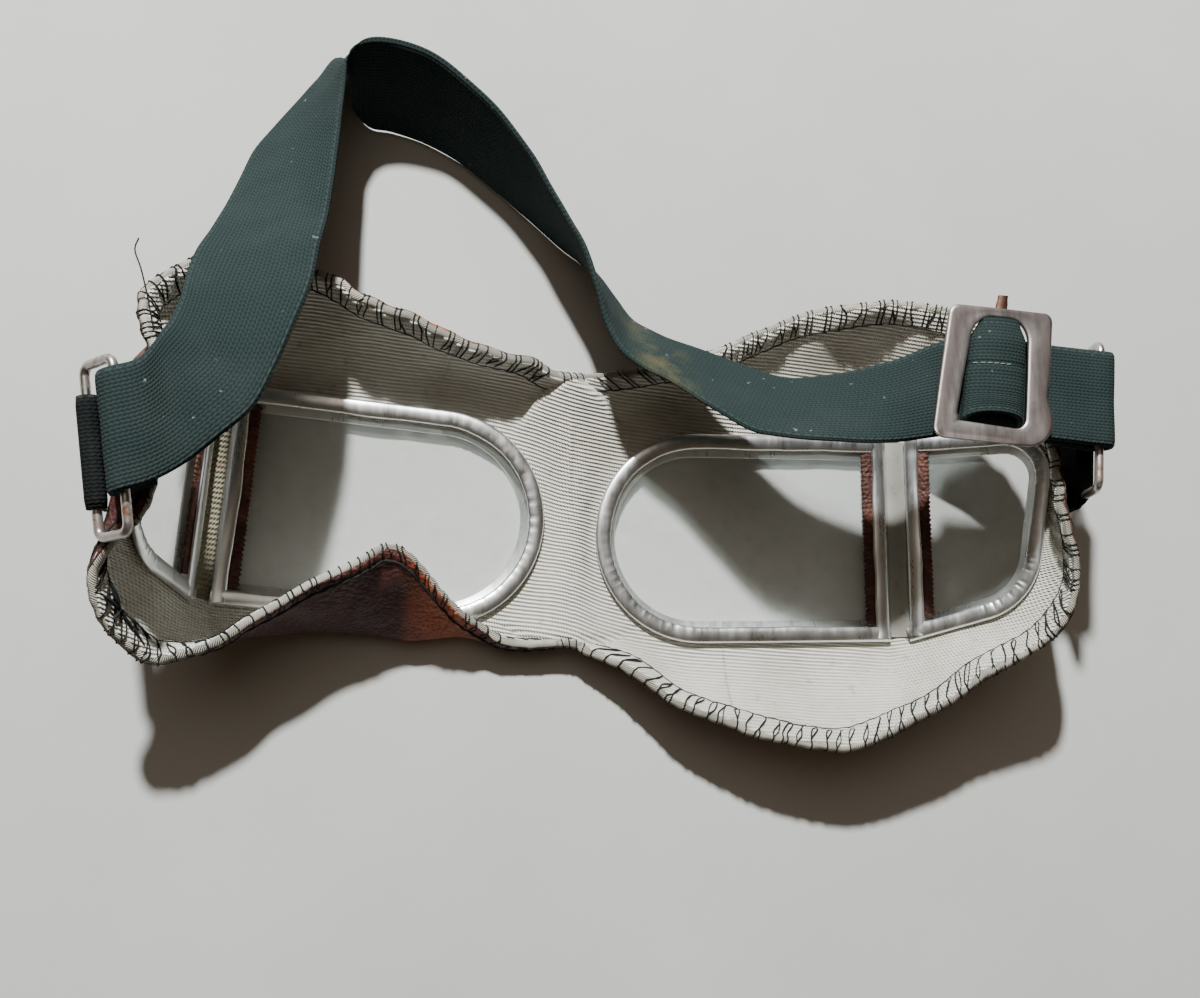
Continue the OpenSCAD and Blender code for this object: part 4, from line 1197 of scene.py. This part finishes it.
def make_tab(side):
    """Elastic loop round the ring's lower bar, its layers sewn together below it."""
    drop, hang, slid = TAB_HANG[side]
    lean = rotation("y", RING_SLOPE[side] - hang)
    r = RING_R + 0.2 + TAB_T / 2
    path = [(-drop, 0.42 * TAB_T + 0.03)] + [(-r - 1.6, 0.5 * TAB_T)]
    for i in range(15):
        a = math.radians(150 - i * 300 / 14)
        path.append((r * math.cos(a), r * math.sin(a)))
    path += [(-r - 1.6, -0.5 * TAB_T), (-drop, -0.42 * TAB_T - 0.03)]
    path = through([[x, 0, z] for x, z in path], 0.5)[0][:, [0, 2]]
    tangent = unit(np.gradient(path, axis=0))
    normal = np.stack([-tangent[:, 1], tangent[:, 0]], -1)
    length = distances(path)
    ws = np.linspace(-TAB_W / 2, TAB_W / 2, 13) + slid
    rings, uv = [], []
    for p, n, l in zip(path, normal, length):
        half = np.where(np.abs(ws - slid) > TAB_W / 2 - 0.5, 0.5, 0.92) * TAB_T / 2
        away = smooth((-p[0] - 2) / drop)
        # On the right the black tab flares out towards the near side and stands in for the strap fold's under
        # layer in shadow: painted shade.
        shade_flare = 3.2 * smooth((slid - ws) / 9) * smooth((-p[0] + 1) / 3) if side == RIGHT else 0
        y = ws + 1.1 * slid * away - shade_flare
        top = np.stack([p[0] + n[0] * half, y, p[1] + n[1] * half], -1)
        low = np.stack([p[0] - n[0] * half, y, p[1] - n[1] * half], -1)
        rings.append(np.concatenate([top, low[::-1]]))
        flat = np.stack([np.full(len(ws), l), ws], -1)
        uv.append(np.concatenate([flat, flat[::-1]]))
    bar = np.array([-(RING_W - 2 * RING_R), 0, 0])
    rings = ring_place(side, np.array(rings) @ lean.T + bar)
    skin = Skin()
    skin.add(rings, uv=np.array(uv))
    obj = skin.make(f"{SIDE_NAME[side]}_ring_tab", TAB_WEBBING)
    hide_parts(f"{SIDE_NAME[side]}_tab")
    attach(obj, f"{SIDE_NAME[side]}_side")


for eye_side in (RIGHT, LEFT):
    make_tab(eye_side)
    dress(f"{SIDE_NAME[eye_side]}_ring", WIRE)


# ---- buckle ----
def buckle_place(p):
    """A point of the buckle, whose stamping leans over more on its left than on its right."""
    p = np.asarray(p, float)
    lean = p[..., 1] * (0.08 - 0.06 * p[..., 0] / (BUCKLE_W / 2)) * (np.abs(p[..., 1]) < BUCKLE_L)
    p = p + np.stack([lean, lean * 0 + BUCKLE_SHIFT, lean * 0], -1)
    return BUCKLE_AT + p @ (rotation("x", BUCKLE_ROLL) @ rotation("z", BUCKLE_TURN)).T


def corner(cx, cy, r, start, end, n=8):
    """Points of an arc round a centre, between two angles in degrees."""
    return [(cx + r * math.cos(a), cy + r * math.sin(a))
            for a in (math.radians(lerp(start, end, i / n)) for i in range(n + 1))]


def resampled(loop, n):
    """A closed outline as n points at even distances."""
    loop = np.array(loop + [loop[0]])
    steps = distances(loop)
    at = np.linspace(0, steps[-1], n, endpoint=False)
    return np.stack([np.interp(at, steps, loop[:, 0]), np.interp(at, steps, loop[:, 1])], -1)


def make_plate():
    """Stamped plate: soft rolled edges, an arched window and one corner bulged out of true."""
    w, l = BUCKLE_W / 2, BUCKLE_L / 2
    outer = (corner(-w + 1.6, l - 1.6, 1.6, 180, 90) + corner(w - 1.6, l - 1.6, 1.6, 90, 0)
             + [(w - 0.25, 2), (w - 0.9, -l + 9)] + corner(w - 4.8, -l + 4.6, 5, 25, -75, 12)
             + corner(-w + 2, -l + 2, 2, 270, 180))
    a, b = WINDOW_W / 2, WINDOW_L / 2
    inner = (corner(-a + 4.2, b - 4.2, 4.2, 180, 90) + corner(a - 4.2, b - 4.2, 4.2, 90, 0)
             + corner(a - 1.8, -b + 1.8, 1.8, 0, -90) + [(-a - 0.6, -b + 0.6)]
             + corner(-a + 0.3, -b + 2.2, 1.2, 225, 180, 4))
    count = 220
    outer, inner = resampled(outer, count), resampled([(x, y + WINDOW_Y) for x, y in inner], count)
    towards = unit(outer[:1] - outer.mean(0)) * 9
    shift = int(np.argmin(np.linalg.norm(inner - inner.mean(0) - towards, axis=1)))
    inner = np.roll(inner, -shift, axis=0)
    profile = [(0.0, 0.0), (0.0, 0.8), (0.03, 0.95), (0.12, 1.0), (0.35, 1.03), (0.5, 1.0), (0.7, 1.0),
               (0.88, 0.98), (0.97, 0.9), (1.0, 0.75), (1.0, 0.0), (0.5, 0.0)]
    rings, uv = [], []
    for o, i in zip(outer, inner):
        ring = []
        uv.append([[t, h] for t, h in profile])
        for t, h in profile:
            x, y = lerp(o, i, t)
            bulge = 0.7 * smooth((x - 4) / 6) * smooth((-y - 6) / 6)
            bulge += 0.25 * wobble(np.array([x, y, 0.0]), 16, 41)
            lip = 0.55 * smooth((0.12 - t) / 0.12) * smooth((-y - l + 1.6) / 1.2) * smooth((5 - x) / 3)
            ring.append([x, y, PLATE_Z + BUCKLE_T * h + bulge * 0.5 + lip])
        rings.append(ring)
    rings.append(rings[0])
    uv.append(uv[0])
    skin = Skin()
    skin.add(buckle_place(np.array(rings)), capped=False, uv=uv)
    obj = skin.make("buckle_plate_skin", BUCKLE_METAL)
    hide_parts("buckle_plate")
    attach(obj, "buckle")


def make_end_loop():
    """The strap's end sewn into a flat tube round the bar, open below, with one bright row of stitches."""
    half_w, low, high, length = 5.5, 1.15, 4.9, 19.4
    section = [(-half_w, low + 0.5), (-half_w + 0.3, low), (half_w - 0.3, low), (half_w, low + 0.5)]
    section += [(half_w * math.cos(a), low + 0.8 + (high - low - 0.8) * math.sin(a) ** 0.8)
                for a in np.linspace(0.12, math.pi - 0.12, 22)]
    section = np.array(section)
    centre = np.array([0, (low + high) / 2 - 0.2])
    tall = (section[:, 1] - low) / (high - low)
    rings, uv = [], []
    ys = np.concatenate([[-length / 2 - 0.05], np.linspace(-length / 2, length / 2, 46)])
    around = distances(section)
    for y in ys:
        t = (y + length / 2) / length
        crown = smooth((1 - t) * 4.5)
        size = (0.6 + 0.4 * crown) * (1 + 0.02 * math.sin(y * 1.7))
        shape = centre + (section - centre) * np.array([0.72 + 0.28 * crown, size])
        pull = 0.28 * math.exp(-((y - 1.0) / 0.45) ** 2)
        shape = shape - (shape - centre) * np.array([0.15 * pull, pull * 0.5])
        cut_back = 1.9 * tall * smooth(1 - t * 3)
        rings.append(np.column_stack([shape[:, 0], y + WINDOW_Y + cut_back, shape[:, 1]]))
        uv.append(np.stack([np.full(len(shape), y), around - around[-1] / 2], -1)[:, ::-1])
    outer = np.array(rings)
    inset = outer.copy()
    inset[:, :, 0] = outer[:, :, 0] * 0.84
    inset[:, :, 2] = centre[1] + (outer[:, :, 2] - centre[1]) * 0.62
    mouth = np.concatenate([inset[14:0:-1], outer[1:]])
    cloth = np.concatenate([np.array(uv)[14:0:-1], np.array(uv)[1:]])
    skin = Skin()
    skin.add(buckle_place(mouth), uv=cloth)
    obj = skin.make("strap_end_tube", WEBBING)
    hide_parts("strap_end_loop")
    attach(obj, "buckle")
    seam = Skin()
    for x in np.arange(-4.9, 1.6, 1.15):
        a = math.acos(np.clip((x + 0.4) / half_w, -1, 1))
        z = low + 0.8 + (high - low - 0.8) * math.sin(a) ** 0.8 - 0.12
        seam.add(tube(buckle_place([(x, 1.6, z - 0.3), (x + 0.15, 1.62, z + 0.02), (x + 0.75, 1.64, z + 0.02),
                                    (x + 0.9, 1.66, z - 0.3)]), 0.12, 5))
    stitches = seam.make("end_tube_stitches", SEAM_THREAD)
    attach(stitches, "buckle")


def make_bar():
    """Centre bar inside the sewn end, and its tail that runs out past the plate's upper edge."""
    l = BUCKLE_L / 2
    skin = Skin()
    z = PLATE_Z + BUCKLE_T + 0.3
    skin.add(buckle_place(tube([(0, y, z) for y in np.linspace(-4, 8.6, 14)], 0.65, 12)))
    rings = []
    for y in np.linspace(l - 0.6, l + 2.4, 10):
        w = 1.1 - 0.12 * smooth((y - l) / 2) + 0.05 * math.sin(y * 3)
        z = PLATE_Z + 0.02 + 0.3 * smooth((y - l) / 2.4)
        half = [(w, z), (w, z + 0.5), (w - 0.15, z + 0.62)]
        rings.append([(-x, y, h) for x, h in half] + [(x, y, h) for x, h in reversed(half)])
    skin.add(buckle_place(np.array(rings)), mat=1)
    obj = skin.make("buckle_bar_skin", [WIRE, RUSTY])
    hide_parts("buckle_bar")
    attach(obj, "buckle")


make_plate()
make_bar()
make_end_loop()


# ---- stage ----
def make_stage():
    """The pale card that the goggles lie on."""
    s = Shader("card", (0.56, 0.56, 0.545), 0.95, Specular_IOR_Level=0.1)
    s.color(s.mix(s.ramp(s.noise(9, 6, 0.6), 0.3, 0.7), (0.52, 0.52, 0.505), (0.6, 0.6, 0.585)))
    half = 1500.0
    corners = [(-half, -half, 0), (half, -half, 0), (half, half, 0), (-half, half, 0)]
    floor = new_object("floor", corners, [(0, 1, 2, 3)], s.mat)
    floor.location.z = -0.0001


def make_world():
    """A bright panel overhead, towards the brow, for the metal to reflect, in dim warm surroundings."""
    world = bpy.data.worlds.new("studio")
    world.use_nodes = True
    tree = world.node_tree
    background = next(n for n in tree.nodes if n.type == "BACKGROUND")
    where = tree.nodes.new("ShaderNodeTexCoord")
    facing = tree.nodes.new("ShaderNodeVectorMath")
    facing.operation = "DOT_PRODUCT"
    facing.inputs[1].default_value = unit(np.array([-0.25, 0.62, 1.0])).tolist()
    tree.links.new(where.outputs["Generated"], facing.inputs[0])
    panel = tree.nodes.new("ShaderNodeMapRange")
    tree.links.new(facing.outputs["Value"], panel.inputs["Value"])
    for key, number in (("From Min", 0.86), ("From Max", 0.93), ("To Min", 0.0), ("To Max", 0.62)):
        panel.inputs[key].default_value = number
    tree.links.new(panel.outputs["Result"], background.inputs["Strength"])
    background.inputs["Color"].default_value = (1.0, 0.9, 0.77, 1)
    surroundings = tree.nodes.new("ShaderNodeBackground")
    surroundings.inputs["Color"].default_value = (1.0, 0.74, 0.46, 1)
    surroundings.inputs["Strength"].default_value = 0.055
    both = tree.nodes.new("ShaderNodeAddShader")
    tree.links.new(background.outputs[0], both.inputs[0])
    tree.links.new(surroundings.outputs[0], both.inputs[1])
    output = next(n for n in tree.nodes if n.type == "OUTPUT_WORLD")
    tree.links.new(both.outputs[0], output.inputs["Surface"])
    bpy.context.scene.world = world


def make_light():
    """A small hard light from beyond the brow, a little to the left."""
    data = bpy.data.lights.new("key", "AREA")
    data.shape = "DISK"
    distance = 0.95
    data.size = 0.055
    data.energy = 22.5
    data.color = (0.975, 1.0, 0.985)
    key = bpy.data.objects.new("key", data)
    way = unit(np.array([-0.28, 1.0, 1.05]))
    key.location = way * distance
    key.rotation_euler = (-1 * Vector(way)).to_track_quat("-Z", "Y").to_euler()
    bpy.context.scene.collection.objects.link(key)


make_stage()
make_world()
make_light()
